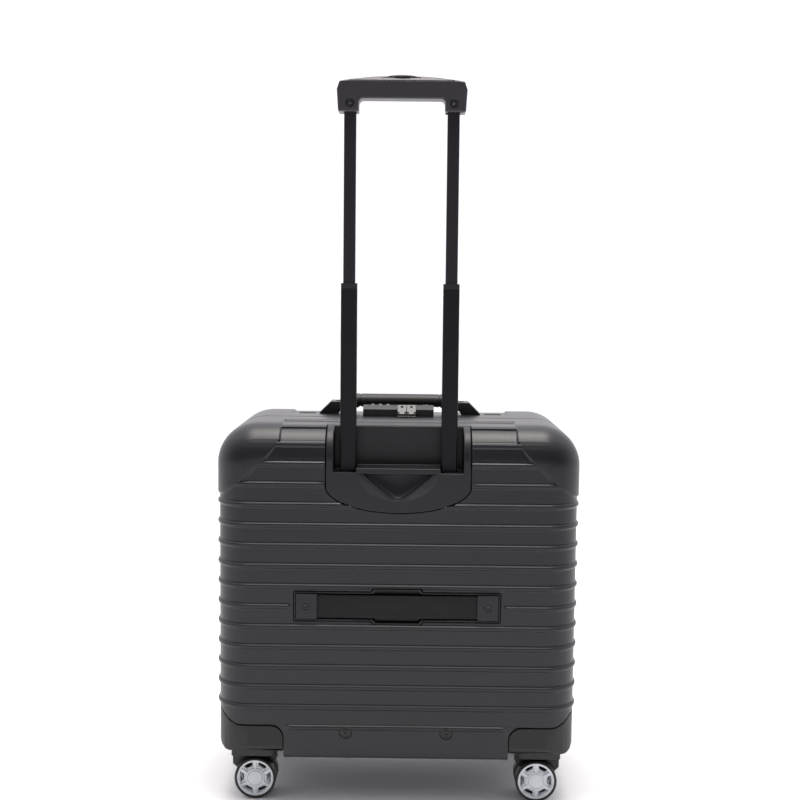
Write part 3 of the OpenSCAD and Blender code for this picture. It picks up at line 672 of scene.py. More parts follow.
def strapCutter():
    grow = caseLook["seam"] * 0.8
    low = strapLow.z + 3.8 * mm - grow
    high = strapHigh.z - 3.8 * mm + grow
    half = strapHigh.x + grow
    cutter = addBlock("strapCutter", (-half, -140 * mm, low), (half, strapHigh.y + 1 * mm, high))
    notch = addBlock("notchCutter", (-29.4 * mm, -140 * mm, low + 5 * mm),
                     (29.4 * mm, strapHigh.y + 1 * mm, high - 5 * mm))
    startEdit(cutter)
    pick(cutter, "EDGE", lambda a, b: abs(a.y - b.y) > 10 * mm)
    bevelEdges(1.6 * mm, 4)
    startEdit(notch)
    for edge, way in ((low + 5 * mm, -1), (high - 5 * mm, 1)):
        pick(notch, "FACE", lambda c, n: n.z * way > 0.9)
        bpy.ops.transform.translate(value=(0, 0, way * 5 * mm))
        bpy.ops.mesh.extrude_region_move(TRANSFORM_OT_translate={"value": (0, 0, way * 3.8 * mm)})
        bpy.ops.transform.resize(value=(26.4 / 29.4, 1, 1))
    endEdit()
    return cutter, notch


def makeShell(name, side):
    piece = halfCase(name, side)
    cutters = [housingCutter(side, mirror) for mirror in (-1, 1)]
    if side < 0:
        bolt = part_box("tube_foot_bolts")
        middle = (bolt[0].z + bolt[1].z) / 2
        radius = (bolt[1].z - bolt[0].z) / 2
        cutters += [*panelCutters(), *strapCutter()]
        cutters += [addRound("boltCutter", (mirror * (bolt[1].x - radius), faceY[-1], middle), radius + 0.6 * mm,
                             20 * mm, "Y", 40) for mirror in (-1, 1)]
    startEdit(piece)
    cutShellLines(piece, side)
    endEdit()
    openSkin(piece, *cutters)
    startEdit(piece)
    pick(piece, "FACE", lambda c, n: abs(c.y - seamY[side]) < tiny and abs(n.y) > 0.99)
    bpy.ops.mesh.delete(type="FACE")
    bpy.ops.mesh.select_all(action="SELECT")
    bpy.ops.mesh.remove_doubles(threshold=0.08 * mm)
    endEdit()
    group = piece.vertex_groups.new(name="proud")
    for vertex in piece.data.vertices:
        weight = proudness(vertex.co, side)
        if weight > 0:
            group.add([vertex.index], weight, "REPLACE")
    useModifier(piece, "DISPLACE", strength=caseLook["proud"], mid_level=0, direction="NORMAL", vertex_group="proud")
    thicken(piece, caseLook["wall"], caseLook["lip"])
    return piece


place(makeShell("rearShell", -1), "rear_case", "shell", shellPlastic, "rear_shell")
print("rear shell done")
place(makeShell("frontShell", 1), "front_case", "shell", shellPlastic, "front_shell")
print("front shell done")



copies = [
    ("handlePanel", "handle_panel", 1.2 * mm, 3, "rear_case", "panel_plastic", panelPlastic),
    ("strapTray", "strap_tray", 0.8 * mm, 2, "rear_case", "panel_plastic", panelPlastic),
    ("strapEndCaps", "strap_end_caps", 0.9 * mm, 3, "rear_case", "panel_plastic", panelPlastic),
    ("rearHousingLeft", "rear_wheel_housing_left", 0.8 * mm, 2, "rear_case", "housing_plastic", housingPlastic),
    ("rearHousingRight", "rear_wheel_housing_right", 0.8 * mm, 2, "rear_case", "housing_plastic", housingPlastic),
    ("frontHousingLeft", "front_wheel_housing_left", 0.8 * mm, 2, "front_case", "housing_plastic", housingPlastic),
    ("frontHousingRight", "front_wheel_housing_right", 0.8 * mm, 2, "front_case", "housing_plastic", housingPlastic),
    ("handleBrackets", "handle_brackets", 1.0 * mm, 3, "front_case", "handle_plastic", bracketPlastic),
    ("lockHousing", "lock_housing", 0.5 * mm, 3, "front_case", "lock_grey", lockGrey),
    ("gripFrame", "grip_frame", 1.6 * mm, 3, "upper_stage", "grip_plastic", gripPlastic),
    ("releaseButton", "release_button", 0.6 * mm, 2, "grip_button", "grip_plastic", gripPlastic),
]
for name, node, edge, segments, body, slotName, finish in copies:
    place(roundedCopy(name, node, edge, segments), body, slotName, finish, node)
for mirror in ("left", "right"):
    for part, edge in (("slider", 0.3 * mm), ("pull", 0.45 * mm)):
        place(roundedCopy(f"zip{part.capitalize()}{mirror.capitalize()}", f"zip_{part}_{mirror}", edge, 2),
              f"{part}_{mirror}", "lock_grey", pullGrey, f"zip_{part}_{mirror}")
for end in ("rear", "front"):
    for mirror in ("left", "right"):
        place(roundedCopy(f"casterFork{end.capitalize()}{mirror.capitalize()}", f"caster_fork_{end}_{mirror}",
                          1.2 * mm, 3), f"fork_{end}_{mirror}", "caster_plastic", casterPlastic,
              f"caster_fork_{end}_{mirror}")
print("fittings done")

dishLook = {"foot": 379.6 * mm, "half": (43.9 * mm, 30.4 * mm), "front": -110.52 * mm, "back": -101.6 * mm,
            "hollow": (38.5 * mm, 7 * mm, 27.5 * mm), "point": 0.62, "pointEnd": 0.45}


# the finger dish under the grip's ledge: a half oval with a hollow that narrows downwards
def makeFingerDish():
    depth = dishLook["back"] - dishLook["front"]
    piece = addRound("fingerDish", (0, 0, 0), 1, depth, "Y", 96)
    piece.scale = (dishLook["half"][0], 1, dishLook["half"][1])
    piece.location = (0, dishLook["front"] + depth / 2, dishLook["foot"])
    applyPlace(piece)
    startEdit(piece)
    cutAll((0, 0, dishLook["foot"]), (0, 0, 1), drop=True, fill=True)
    endEdit()
    clearSelection()
    bpy.ops.mesh.primitive_uv_sphere_add(segments=80, ring_count=40, radius=1)
    hollow = bpy.context.object
    hollow.scale = dishLook["hollow"]
    applyPlace(hollow)
    for vertex in hollow.data.vertices:
        down = max(-vertex.co.z, 0) / dishLook["hollow"][2]
        vertex.co.x *= max(1 - dishLook["point"] * down, dishLook["pointEnd"])
    hollow.location = (0, dishLook["front"], dishLook["foot"])
    applyPlace(hollow)
    subtract(piece, hollow)
    useModifier(piece, "BEVEL", width=0.9 * mm, segments=3, limit_method="ANGLE", angle_limit=math.radians(30),
                use_clamp_overlap=True)
    smooth(piece, 50)
    return piece


place(makeFingerDish(), "rear_case", "panel_plastic", panelPlastic)
print("finger dish done")


liningLook = {"inset": 3.6 * mm, "voxel": 4 * mm, "wrinkle": 1.1 * mm, "thickness": 0.8 * mm,
              "bindingRadius": 1.1 * mm, "calmEdge": 12 * mm, "overshoot": 14 * mm,
              "rearFlat": (0.6, 0.56), "rearArea": 0.3, "frontFlat": (0.6, 0.56), "frontArea": 0.3}


# the boxes that the lining goes round, as in the case: handle channel, strap tray and wheel housings
def liningObstacles(side):
    grow = 0.6 * mm
    boxes = []
    if side < 0:
        boxes.append(((-84 * mm - grow, -1, 0), (84 * mm + grow, -75 * mm + grow, 1)))
        boxes.append(((-118 * mm - grow, -1, 203.4 * mm), (118 * mm + grow, -98 * mm + grow, 257.6 * mm)))
    for mirror in (-1, 1):
        xs = sorted((mirror * (123 * mm - grow), mirror))
        ys = sorted((side * (24 * mm - grow), side))
        boxes.append(((xs[0], ys[0], 0), (xs[1], ys[1], 114.6 * mm + grow)))
    return boxes


def makeLining(name, side):
    inset = liningLook["inset"]
    piece = halfCase(name, side, inset, 6)
    rimY = seamY[side] + side * 0.9 * mm
    startEdit(piece)
    pick(piece, "FACE", lambda c, n: n.y * side < -0.99)
    bpy.ops.mesh.extrude_region_move(TRANSFORM_OT_translate={"value": (0, -side * liningLook["overshoot"], 0)})
    endEdit()
    subtract(piece, *(addBlock("obstacle", low, high) for low, high in liningObstacles(side)))
    useModifier(piece, "REMESH", mode="VOXEL", voxel_size=liningLook["voxel"], adaptivity=0)
    useModifier(piece, "SMOOTH", factor=0.5, iterations=3)
    startEdit(piece)
    cutAll((0, rimY, 0), (0, -side, 0), drop=True)
    endEdit()
    for vertex in piece.data.vertices:
        p = vertex.co
        folds = noise.noise(Vector((p.x * 9, p.y * 22, p.z * 9)))
        folds += 0.5 * noise.noise(Vector((p.x * 31, p.y * 40, p.z * 26)))
        edge = min(abs(p.y - rimY) / liningLook["calmEdge"], 1)
        vertex.co = p - vertex.normal * (max(folds + 0.45, 0) * liningLook["wrinkle"] * edge)
    return piece, rimY


# the bound edge of the lining follows its open rim
def makeBinding(name, piece, rimY):
    startEdit(piece)
    pick(piece, "EDGE", lambda a, b: max(abs(a.y - rimY), abs(b.y - rimY)) < 0.02 * mm)
    bpy.ops.mesh.duplicate()
    bpy.ops.mesh.separate(type="SELECTED")
    endEdit()
    rim = [o for o in bpy.context.selected_objects if o != piece][0]
    rim.name = name
    activate(rim)
    bpy.ops.object.convert(target="CURVE")
    rim.data.bevel_depth = liningLook["bindingRadius"]
    rim.data.bevel_resolution = 2
    bpy.ops.object.convert(target="MESH")
    startEdit(rim)
    bpy.ops.mesh.select_all(action="SELECT")
    bpy.ops.mesh.remove_doubles(threshold=tiny)
    bpy.ops.mesh.normals_make_consistent(inside=False)
    endEdit()
    smooth(rim, 60)
    return rim


for side, body, word in ((-1, "rear_case", "rear"), (1, "front_case", "front")):
    lining, rimY = makeLining(word + "Lining", side)
    binding = makeBinding(word + "LiningBinding", lining, rimY)
    useModifier(lining, "SOLIDIFY", thickness=liningLook["thickness"], offset=-1, use_rim=True)
    smooth(lining, 60)
    place(lining, body, "lining", liningCloth, word + "_lining")
    place(binding, body, "lining", bindingCloth)
    print(word, "lining done")


strapLook = {"low": (-112 * mm, -110.3 * mm, 217.2 * mm), "high": (112 * mm, -108.5 * mm, 243.2 * mm),
             "arch": 0.9 * mm,
             "rowInset": 2.2 * mm, "stitchPitch": 3.6 * mm, "stitch": (2.5 * mm, 0.5 * mm, 0.55 * mm), "free": 89 * mm}


# one row of thread stitches along X: one stitch, then copies of it
def stitchRow(name, start, count, pitch, size):
    low = Vector(start) - Vector(size) / 2
    piece = addBlock(name, low, low + Vector(size))
    startEdit(piece)
    for face in (-1, 1):
        pick(piece, "FACE", lambda c, n: n.x * face > 0.9)
        bpy.ops.transform.resize(value=(1, 0.4, 0.5))
    pick(piece, "EDGE", lambda a, b: abs(a.x - b.x) > size[0] * 0.3)
    bevelEdges(0.12 * mm, 1)
    endEdit()
    useModifier(piece, "ARRAY", count=count, use_relative_offset=False, use_constant_offset=True,
                constant_offset_displace=(pitch, 0, 0))
    return piece


# bows a piece outwards between the strap's ends
def archOut(piece):
    for vertex in piece.data.vertices:
        part = min(abs(vertex.co.x) / strapLook["free"], 1)
        vertex.co.y -= strapLook["arch"] * (math.cos(math.pi * part) + 1) / 2


def makeStrap():
    low, high = strapLook["low"], strapLook["high"]
    piece = addBlock("strapWebbing", low, high)
    startEdit(piece)
    pick(piece, "EDGE", lambda a, b: abs(a.x - b.x) > 0.1)
    bevelEdges(0.6 * mm, 3)
    for k in range(-11, 12):
        cutAll((k * 10 * mm, 0, 0), (1, 0, 0))
    endEdit()
    archOut(piece)
    smooth(piece, 40)
    return piece


place(makeStrap(), "rear_case", "webbing", strapWeb, "strap_webbing")
rows = []
for z in (strapLook["low"][2] + strapLook["rowInset"], strapLook["high"][2] - strapLook["rowInset"]):
    count = int(2 * (strapLook["free"] - 1 * mm) / strapLook["stitchPitch"])
    start = -(count - 1) * strapLook["stitchPitch"] / 2
    rows.append(stitchRow("stitches", (start, strapLook["low"][1], z), count, strapLook["stitchPitch"],
                          strapLook["stitch"]))
stitches = joinPieces("strapStitches", rows)
archOut(stitches)
smooth(stitches, 40)
place(stitches, "rear_case", "webbing", threadBlack)
print("strap done")


packLook = {"x": 48 * mm, "half": 12.5 * mm, "y": -73.2 * mm, "thick": 1.6 * mm, "low": 110 * mm, "high": 400 * mm,
            "buckleHalf": 16 * mm, "buckleLow": 236 * mm, "buckleHigh": 268 * mm, "buckleOut": -66.2 * mm}


def makePackingStrap(name, x):
    back = packLook["y"]
    piece = addBlock(name, (x - packLook["half"], back, packLook["low"]),
                     (x + packLook["half"], back + packLook["thick"], packLook["high"]))
    startEdit(piece)
    pick(piece, "EDGE", lambda a, b: abs(a.z - b.z) > 0.1)
    bevelEdges(0.5 * mm, 2)
    for z in range(120, 400, 8):
        cutAll((0, 0, z * mm), (0, 0, 1))
    endEdit()
    for vertex in piece.data.vertices:
        z = vertex.co.z
        slack = softStep(abs(z - 252 * mm) - 22 * mm, 12 * mm)
        vertex.co.y += slack * (0.5 + 0.5 * math.sin(z * 46 + x * 30)) * 1.2 * mm
        vertex.co.x += math.sin(z * 20) * 0.5 * mm * slack
    hem = addBlock("hem", (x - packLook["half"] + 0.4 * mm, back + 0.2 * mm, packLook["low"] + 0.5 * mm),
                   (x + packLook["half"] - 0.4 * mm, back + packLook["thick"] + 1.3 * mm, packLook["low"] + 16 * mm))
    startEdit(hem)
    pick(hem, "EDGE", lambda a, b: True)
    bevelEdges(0.6 * mm, 2)
    endEdit()
    return joinPieces(name, [piece, hem])


# side-release buckle: waisted body, middle slot, two spring arms that show in the sides
def makeBuckle(name, x):
    back = packLook["y"] + packLook["thick"] + 0.15 * mm
    half, low, high, out = packLook["buckleHalf"], packLook["buckleLow"], packLook["buckleHigh"], packLook["buckleOut"]
    middle = (low + high) / 2
    piece = addBlock(name, (x - half, back, low), (x + half, out, high))
    startEdit(piece)
    for z in (low + 8 * mm, middle - 4 * mm, middle + 6 * mm):
        cutAll((0, 0, z), (0, 0, 1))
    for z in (middle - 4 * mm, middle + 6 * mm):
        pick(piece, "VERT", lambda p: abs(p.z - z) < tiny)
        bpy.ops.transform.resize(value=(0.9, 1, 1), center_override=(x, 0, z))
    pick(piece, "EDGE", lambda a, b: abs(a.y - b.y) > 3 * mm
         and (min(a.z, b.z) < low + tiny or max(a.z, b.z) > high - tiny))
    bevelEdges(3 * mm, 4)
    pick(piece, "FACE", lambda c, n: n.y > 0.9)
    bpy.ops.mesh.inset(thickness=1.2 * mm, depth=0)
    endEdit()
    webHalf, front, behind = 11.5 * mm, out + 2 * mm, back - 2 * mm
    armLow, armHigh, armBack, armFront = middle - 3.4 * mm, middle + 5.4 * mm, back + 1.4 * mm, out - 1.2 * mm
    edge, inner = half + 2 * mm, half - 5.6 * mm
    slots = [addBlock("slot", first, second) for first, second in (
        ((x - webHalf, behind, low + 3.2 * mm), (x + webHalf, front, low + 6.2 * mm)),
        ((x - webHalf, behind, high - 5.4 * mm), (x + webHalf, front, high - 2.6 * mm)),
        ((x - edge, armBack, armLow), (x - inner, armFront, armHigh)),
        ((x + inner, armBack, armLow), (x + edge, armFront, armHigh)),
        ((x - 6 * mm, out - 0.6 * mm, middle - 2 * mm), (x + 6 * mm, front, middle + 4 * mm)))]
    subtract(piece, *slots)
    useModifier(piece, "BEVEL", width=0.4 * mm, segments=2, limit_method="ANGLE", angle_limit=math.radians(40),
                use_clamp_overlap=False)
    smooth(piece, 40)
    return piece


straps = [makePackingStrap("packingStrap", mirror * packLook["x"]) for mirror in (-1, 1)]
packing = joinPieces("packingStraps", straps)
smooth(packing, 40)
place(packing, "rear_case", "webbing", elasticWeb, "packing_straps")
for mirror, word in ((-1, "Left"), (1, "Right")):
    place(makeBuckle("buckle" + word, mirror * packLook["x"]), "rear_case", "handle_plastic", casterPlastic)
print("packing straps done")


zipLook = {"foot": 77 * mm, "rear": (-7.9 * mm, -6.15 * mm), "front": (-5.85 * mm, -4.1 * mm), "tapeInset": 2.9 * mm,
           "tape": 0.5 * mm, "coilInset": 2.1 * mm, "turn": math.pi / 2, "pitch": 2.4 * mm,
           "tooth": (1.1 * mm, 1.75 * mm, 1.5 * mm), "cornerTeeth": 27}


# half the case's outline as an open chain of edges, at an inset and a place along Y
def outlineChain(name, inset, y):
    width, top = halfWidth - inset, caseTop - inset
    clearSelection()
    bpy.ops.mesh.primitive_plane_add(size=1, location=(0, y, (zipLook["foot"] + top) / 2),
                                     rotation=(math.pi / 2, 0, 0))
    piece = bpy.context.object
    piece.name = name
    piece.scale = (2 * width, top - zipLook["foot"], 1)
    applyPlace(piece)
    startEdit(piece)
    pick(piece, "VERT", lambda p: p.z > top - tiny)
    bpy.ops.mesh.bevel(offset=caseLook["topCorner"] - inset, offset_type="OFFSET", segments=14, affect="VERTICES")
    bpy.ops.mesh.select_mode(type="FACE")
    bpy.ops.mesh.select_all(action="SELECT")
    bpy.ops.mesh.delete(type="ONLY_FACE")
    pick(piece, "EDGE", lambda a, b: max(a.z, b.z) < zipLook["foot"] + tiny)
    bpy.ops.mesh.delete(type="EDGE")
    endEdit()
    return piece


def makeZipTape(name, y0, y1):
    piece = outlineChain(name, zipLook["tapeInset"], y0)
    startEdit(piece)
    bpy.ops.mesh.select_mode(type="EDGE")
    bpy.ops.mesh.select_all(action="SELECT")
    bpy.ops.mesh.extrude_region_move(TRANSFORM_OT_translate={"value": (0, y1 - y0, 0)})
    bpy.ops.mesh.select_all(action="SELECT")
    bpy.ops.mesh.normals_make_consistent(inside=False)
    pick(piece, "FACE", lambda c, n: c.z > caseTop - 6 * mm)
    wrong = any(f.select and f.normal.z < 0 for f in bmesh.from_edit_mesh(piece.data).faces)
    bpy.ops.mesh.select_all(action="SELECT")
    if wrong:
        bpy.ops.mesh.flip_normals()
    endEdit()
    useModifier(piece, "SOLIDIFY", thickness=zipLook["tape"], offset=-1, use_rim=True)
    smooth(piece, 40)
    return piece


# teeth of one half of the zip: one moulded tooth, repeated up the sides, round the corners and along the top
def makeZipTeeth(name, middleY, shift):
    inset, pitch = zipLook["coilInset"], zipLook["pitch"]
    width, top, radius = halfWidth - inset, caseTop - inset, caseLook["topCorner"] - inset
    long, deep, high = (v / 2 for v in zipLook["tooth"])

    def tooth(x, z, alongX):
        half = Vector((long, deep, high) if alongX else (high, deep, long))
        block = addBlock(name, Vector((x, middleY, z)) - half, Vector((x, middleY, z)) + half)
        startEdit(block)
        pick(block, "EDGE", lambda a, b: abs(a.y - b.y) > deep)
        bevelEdges(0.35 * mm, 1)
        endEdit()
        return block

    foot = zipLook["foot"] + pitch + shift
    column = tooth(-width, foot, False)
    useModifier(column, "ARRAY", count=int((top - radius - foot) / pitch), use_relative_offset=False,
                use_constant_offset=True, constant_offset_displace=(0, 0, pitch))
    corner = tooth(-width, top - radius, False)
    startEdit(corner)
    bpy.ops.mesh.select_all(action="SELECT")
    bpy.ops.mesh.spin(steps=zipLook["cornerTeeth"], dupli=True, angle=zipLook["turn"],
                      center=(-width + radius, middleY, top - radius),
                      axis=(0, 1, 0))
    endEdit()
    sides = joinPieces(name, [column, corner])
    useModifier(sides, "MIRROR", use_axis=(True, False, False), use_mirror_merge=False)
    crown = tooth(-width + radius + pitch + shift, top, True)
    useModifier(crown, "ARRAY", count=int(2 * (width - radius - pitch) / pitch), use_relative_offset=False,
                use_constant_offset=True, constant_offset_displace=(pitch, 0, 0))
    return joinPieces(name, [sides, crown])


for word, body, shift in (("rear", "rear_case", 0), ("front", "front_case", zipLook["pitch"] / 2)):
    y0, y1 = zipLook[word]
    place(makeZipTape(word + "ZipTape", y0, y1), body, "zip_tape", zipCloth, "zip_half_" + word)
    place(makeZipTeeth(word + "ZipTeeth", (y0 + y1) / 2, shift), body, "zip_tape", zipBlack)
print("zip done")


wheelLook = {"radius": 24 * mm, "width": 12 * mm, "hub": 21.1 * mm, "hubLength": 10 * mm, "middle": 11.2 * mm,
             "x": 161 * mm, "y": 75 * mm, "windowOut": 17.6 * mm, "windowIn": 13 * mm,
             "windowHalf": 3.9 * mm, "windowWiden": 1.6, "spokeIn": 9.6 * mm, "spokeOut": 18.6 * mm,
             "spokeHalf": 1.5 * mm, "spokeY": 4.5 * mm, "through": 9 * mm,
             # from the rim to the cap: how far each ring is set in, and how far it then moves outwards, in mm
             "steps": ((0.6, 0), (1.9, 0), (0.5, -3.4), (7.2, 1.5), (0.4, 1.8), (1.4, 0), (0.35, -0.9), (0.35, 0),
                       (0.3, 1.5))}


# a hub on the Y axis at the origin: rim, sunken web with six windows, raised spokes, cap with a dark groove
def makeHub(name):
    hub = addRound(name, (0, 0, 0), wheelLook["hub"], wheelLook["hubLength"], "Y", 72)
    startEdit(hub)
    for side in (-1, 1):
        for inset, sink in wheelLook["steps"]:
            pick(hub, "FACE", lambda c, n: n.y * side > 0.99 and math.hypot(c.x, c.z) < 0.1 * mm)
            bpy.ops.mesh.inset(thickness=inset * mm, depth=0)
            if sink:
                bpy.ops.transform.translate(value=(0, side * sink * mm, 0))
    endEdit()
    cutters = []
    for k in range(6):
        turn = math.radians(60 * k)
        window = addBlock("window", (wheelLook["windowIn"], -wheelLook["through"], -wheelLook["windowHalf"]),
                          (wheelLook["windowOut"], wheelLook["through"], wheelLook["windowHalf"]))
        startEdit(window)
        pick(window, "FACE", lambda c, n: n.x > 0.9)
        bpy.ops.transform.resize(value=(1, 1, wheelLook["windowWiden"]), center_override=(0, 0, 0))
        pick(window, "EDGE", lambda a, b: abs(a.y - b.y) > wheelLook["through"])
        bevelEdges(0.8 * mm, 3)
        endEdit()
        window.rotation_euler = (0, turn, 0)
        applyPlace(window)
        cutters.append(window)
    subtract(hub, *cutters)
    spokes = []
    for k in range(6):
        turn = math.radians(60 * k + 30)
        spoke = addBlock("spoke", (wheelLook["spokeIn"], -wheelLook["spokeY"], -wheelLook["spokeHalf"]),
                         (wheelLook["spokeOut"], wheelLook["spokeY"], wheelLook["spokeHalf"]))
        startEdit(spoke)
        pick(spoke, "EDGE", lambda a, b: abs(a.x - b.x) > 5 * mm)
        bevelEdges(0.9 * mm, 2)
        endEdit()
        spoke.rotation_euler = (0, turn, 0)
        applyPlace(spoke)
        spokes.append(spoke)
    for spoke in spokes:
        useModifier(hub, "BOOLEAN", operation="UNION", object=spoke, solver="EXACT")
        bpy.data.objects.remove(spoke)
    useModifier(hub, "BEVEL", width=0.22 * mm, segments=2, limit_method="ANGLE", angle_limit=math.radians(35),
                use_clamp_overlap=True)
    return hub


def makeTyre(name):
    tyre = addRound(name, (0, 0, 0), wheelLook["radius"], wheelLook["width"], "Y", 72, "NOTHING")
    startEdit(tyre)
    for y in (-4.2, -3.7, 3.7, 4.2):
        cutAll((0, y * mm, 0), (0, 1, 0))
    for y in (-3.95, 3.95):
        pick(tyre, "FACE", lambda c, n: abs(c.y - y * mm) < 0.3 * mm)
        bpy.ops.transform.resize(value=(0.985, 1, 0.985), center_override=(0, y * mm, 0))
    endEdit()
    useModifier(tyre, "SOLIDIFY", thickness=wheelLook["radius"] - wheelLook["hub"], offset=-1, use_rim=True)
    startEdit(tyre)
    pick(tyre, "EDGE", lambda a, b: min(abs(a.y), abs(b.y)) > 5.9 * mm and abs(a.y - b.y) < tiny
         and min(math.hypot(a.x, a.z), math.hypot(b.x, b.z)) > wheelLook["radius"] - 0.1 * mm)
    bevelEdges(1.7 * mm, 5)
    pick(tyre, "EDGE", lambda a, b: min(abs(a.y), abs(b.y)) > 5.9 * mm and abs(a.y - b.y) < tiny
         and max(math.hypot(a.x, a.z), math.hypot(b.x, b.z)) < wheelLook["hub"] + 0.1 * mm)
    bevelEdges(0.5 * mm, 2)
    endEdit()
    return tyre


def copyTo(master, name, offset):
    piece = bpy.data.objects.new(name, master.data.copy())
    bpy.context.scene.collection.objects.link(piece)
    piece.location = offset
    applyPlace(piece)
    return piece


masters = {"Hub": makeHub("hubMaster"), "Tyre": makeTyre("tyreMaster")}
for endSide, end in ((-1, "rear"), (1, "front")):
    for mirror, word in ((-1, "left"), (1, "right")):
        for kind, finish, slotName in (("Hub", hubPlastic, "hub"), ("Tyre", tyreRubber, "tyre")):
            x, y = mirror * wheelLook["x"], endSide * wheelLook["y"]
            pair = [copyTo(masters[kind], "part", (x, y + way * wheelLook["middle"], wheelLook["radius"]))
                    for way in (-1, 1)]
            wheelPiece = joinPieces(f"wheel{kind}s{end.capitalize()}{word.capitalize()}", pair)
            smooth(wheelPiece, 38)
            place(wheelPiece, f"wheels_{end}_{word}", slotName, finish, f"wheel_{kind.lower()}s_{end}_{word}")
for master in masters.values():
    bpy.data.objects.remove(master)
print("wheels done")


barLook = {"y": 44 * mm, "z": 448.8 * mm, "radius": 8.1 * mm, "wide": 9.6 * mm, "half": 59 * mm, "joint": 47.2 * mm}


# the bar of the top handle: soft sleeve with finger waves below, plain ferrules and grooves at the ends
def makeCarryBar():
    y, z, half, joint = barLook["y"], barLook["z"], barLook["half"], barLook["joint"]
    bar = addRound("carryBar", (0, y, z), barLook["radius"], 2 * half, "X", 48)
    startEdit(bar)
    bpy.ops.mesh.select_all(action="SELECT")
    bpy.ops.transform.resize(value=(1, barLook["wide"] / barLook["radius"], 1), center_override=(0, y, z))
    for x in (joint, joint + 0.4 * mm, joint + 1.3 * mm, joint + 1.7 * mm):
        for mirror in (-1, 1):
            cutAll((mirror * x, 0, 0), (1, 0, 0))
    for k in range(-11, 12):
        cutAll((k * 4 * mm, 0, 0), (1, 0, 0))
    for mirror in (-1, 1):
        groove = mirror * (joint + 0.85 * mm)
        pick(bar, "FACE", lambda c, n: abs(c.x - groove) < 0.3 * mm and abs(n.x) < 0.5)
        bpy.ops.transform.resize(value=(1, 0.9, 0.9), center_override=(groove, y, z))
        pick(bar, "EDGE", lambda a, b: abs(a.x - mirror * half) < tiny and abs(b.x - mirror * half) < tiny)
        bevelEdges(2 * mm, 4)
    endEdit()
    for vertex in bar.data.vertices:
        p = vertex.co
        inside = softStep(joint - 4 * mm - abs(p.x), 4 * mm)
        below = min(max((z - p.z) / barLook["radius"], 0), 1)
        p.z += below * inside * 0.9 * mm * (0.5 - 0.5 * math.cos(2 * math.pi * p.x / (20 * mm) + math.pi))
    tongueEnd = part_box("carry_grip")[1].x
    for mirror in (-1, 1):
        xs = sorted((mirror * 50 * mm, mirror * tongueEnd))
        tongue = addBlock("tongue", (xs[0], y - 7 * mm, 440 * mm), (xs[1], y + 7 * mm, 446.5 * mm))
        startEdit(tongue)
        pick(tongue, "EDGE", lambda a, b: True)
        bevelEdges(1 * mm, 2)
        endEdit()
        bar = joinPieces("carryBar", [bar, tongue])
    smooth(bar, 35)
    return bar


place(makeCarryBar(), "carry_handle", "handle_rubber", softTouch, "carry_grip")
print("carry bar done")


dialLook = {"radius": 6 * mm, "y": 17.4 * mm, "z": 440.4 * mm, "x": (-32.4 * mm, -23.3 * mm, -14.2 * mm),
            "size": 4.2 * mm, "raised": 0.12 * mm, "edge": 0.25 * mm}


# raised figures 0 to 9 round a dial
def makeFigures(name, x):
    figures = []
    for k in range(10):
        clearSelection()
        bpy.ops.object.text_add(location=(0, 0, 0))
        figure = bpy.context.object
        figure.data.body = str(k)
        figure.data.size = dialLook["size"]
        figure.data.align_x, figure.data.align_y = "CENTER", "CENTER"
        figure.data.extrude = dialLook["raised"]
        figure.data.resolution_u = 3
        activate(figure)
        bpy.ops.object.convert(target="MESH")
        turn = math.radians(36 * k)
        figure.rotation_euler = (turn, 0, 0)
        radius = dialLook["radius"]
        figure.location = (x, dialLook["y"] - math.sin(turn) * radius, dialLook["z"] + math.cos(turn) * radius)
        applyPlace(figure)
        figures.append(figure)
    return joinPieces(name, figures)


for n, x in enumerate(dialLook["x"], 1):
    place(makeFigures(f"dialFigures{n}", x), f"dial_{n}", "dial", figureIvory)
    place(roundedCopy(f"lockDial{n}", f"lock_dial_{n}", dialLook["edge"], 2), f"dial_{n}", "dial", dialBlack,
          f"lock_dial_{n}")
print("dials done")


screwLook = {"strapX": 101.8 * mm, "strapZ": 230.2 * mm, "boltX": 56.5 * mm, "boltZ": 85.7 * mm}


# screws with a cross recess, bolts with a grooved plug
def makeScrews():
    piece = roundedCopy("strapScrews", "strap_screws", 0)
    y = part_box("strap_screws")[0].y
    cutters = []
    for mirror in (-1, 1):
        x, z = mirror * screwLook["strapX"], screwLook["strapZ"]
        for a, b in ((1.7, 0.32), (0.32, 1.7)):
            cutters.append(addBlock("cross", (x - a * mm, y - 1 * mm, z - b * mm),
                                    (x + a * mm, y + 0.6 * mm, z + b * mm)))
    subtract(piece, *cutters)
    useModifier(piece, "BEVEL", width=0.15 * mm, segments=2, limit_method="ANGLE", angle_limit=math.radians(40))
    smooth(piece, 40)
    return piece


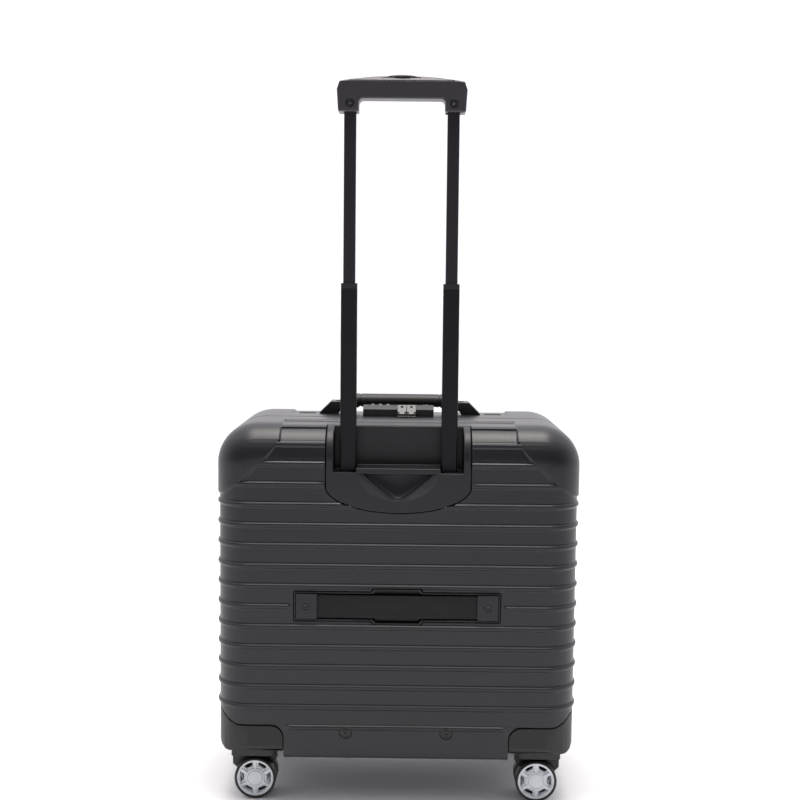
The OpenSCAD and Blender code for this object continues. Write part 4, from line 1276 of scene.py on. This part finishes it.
def makeBolts():
    piece = roundedCopy("footBolts", "tube_foot_bolts", 0)
    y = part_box("tube_foot_bolts")[0].y
    cutters = []
    for mirror in (-1, 1):
        x, z = mirror * screwLook["boltX"], screwLook["boltZ"]
        ring = addRound("ring", (x, y, z), 4.6 * mm, 1.2 * mm, "Y", 48)
        core = addRound("core", (x, y, z), 3.9 * mm, 4 * mm, "Y", 48)
        subtract(ring, core)
        cutters.append(ring)
    subtract(piece, *cutters)
    useModifier(piece, "BEVEL", width=0.25 * mm, segments=2, limit_method="ANGLE", angle_limit=math.radians(40))
    smooth(piece, 40)
    return piece


place(makeScrews(), "rear_case", "steel", darkSteel, "strap_screws")
place(makeBolts(), "rear_case", "steel", darkSteel, "tube_foot_bolts")


# the raised lip round the button in the crown of the grip
def makeButtonLip():
    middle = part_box("grip_frame")
    y, top = (middle[0].y + middle[1].y) / 2, middle[1].z
    lip = addRound("buttonLip", (0, 0, top - 0.5 * mm), 1, 1.6 * mm, "Z", 96)
    hole = addRound("lipHole", (0, 0, top), 1, 9 * mm, "Z", 96)
    for piece, halfX, halfY in ((lip, 20.6 * mm, 9.8 * mm), (hole, 18.1 * mm, 8 * mm)):
        piece.scale = (halfX, halfY, 1)
        piece.location = (0, y, 0)
        applyPlace(piece)
    subtract(lip, hole)
    useModifier(lip, "BEVEL", width=0.45 * mm, segments=3, limit_method="ANGLE", angle_limit=math.radians(40))
    for vertex in lip.data.vertices:
        vertex.co.z -= 6 * mm * (vertex.co.x / (68 * mm)) ** 2
    smooth(lip, 40)
    return lip


place(makeButtonLip(), "upper_stage", "grip_plastic", gripPlastic)
print("small fittings done")


# CAD nodes that show as they are
finishOf = {
    "guide_tubes": aluminium, "tube_foot_bracket": panelPlastic, "swivel_bearings_rear": steel,
    "swivel_bearings_front": steel, "hinge_leaf_rear": blackMetal, "hinge_leaf_front": blackMetal,
    "hinge_pin": steel, "lower_tubes": blackTube, "lower_collars": panelPlastic, "tube_detents": steel,
    "upper_tubes": upperTubePaintedSheen, "grip_rivets": blackMetal, "push_rods": steel, "lock_key_barrel": steel,
    "lock_release_button": casterPlastic,
}
for name, node in nodes.items():
    finish = steel if name.startswith("caster_axle") else finishOf.get(name)
    if finish is not None:
        node.data.materials.clear()
        node.data.materials.append(finish)
        smooth(node, 35)
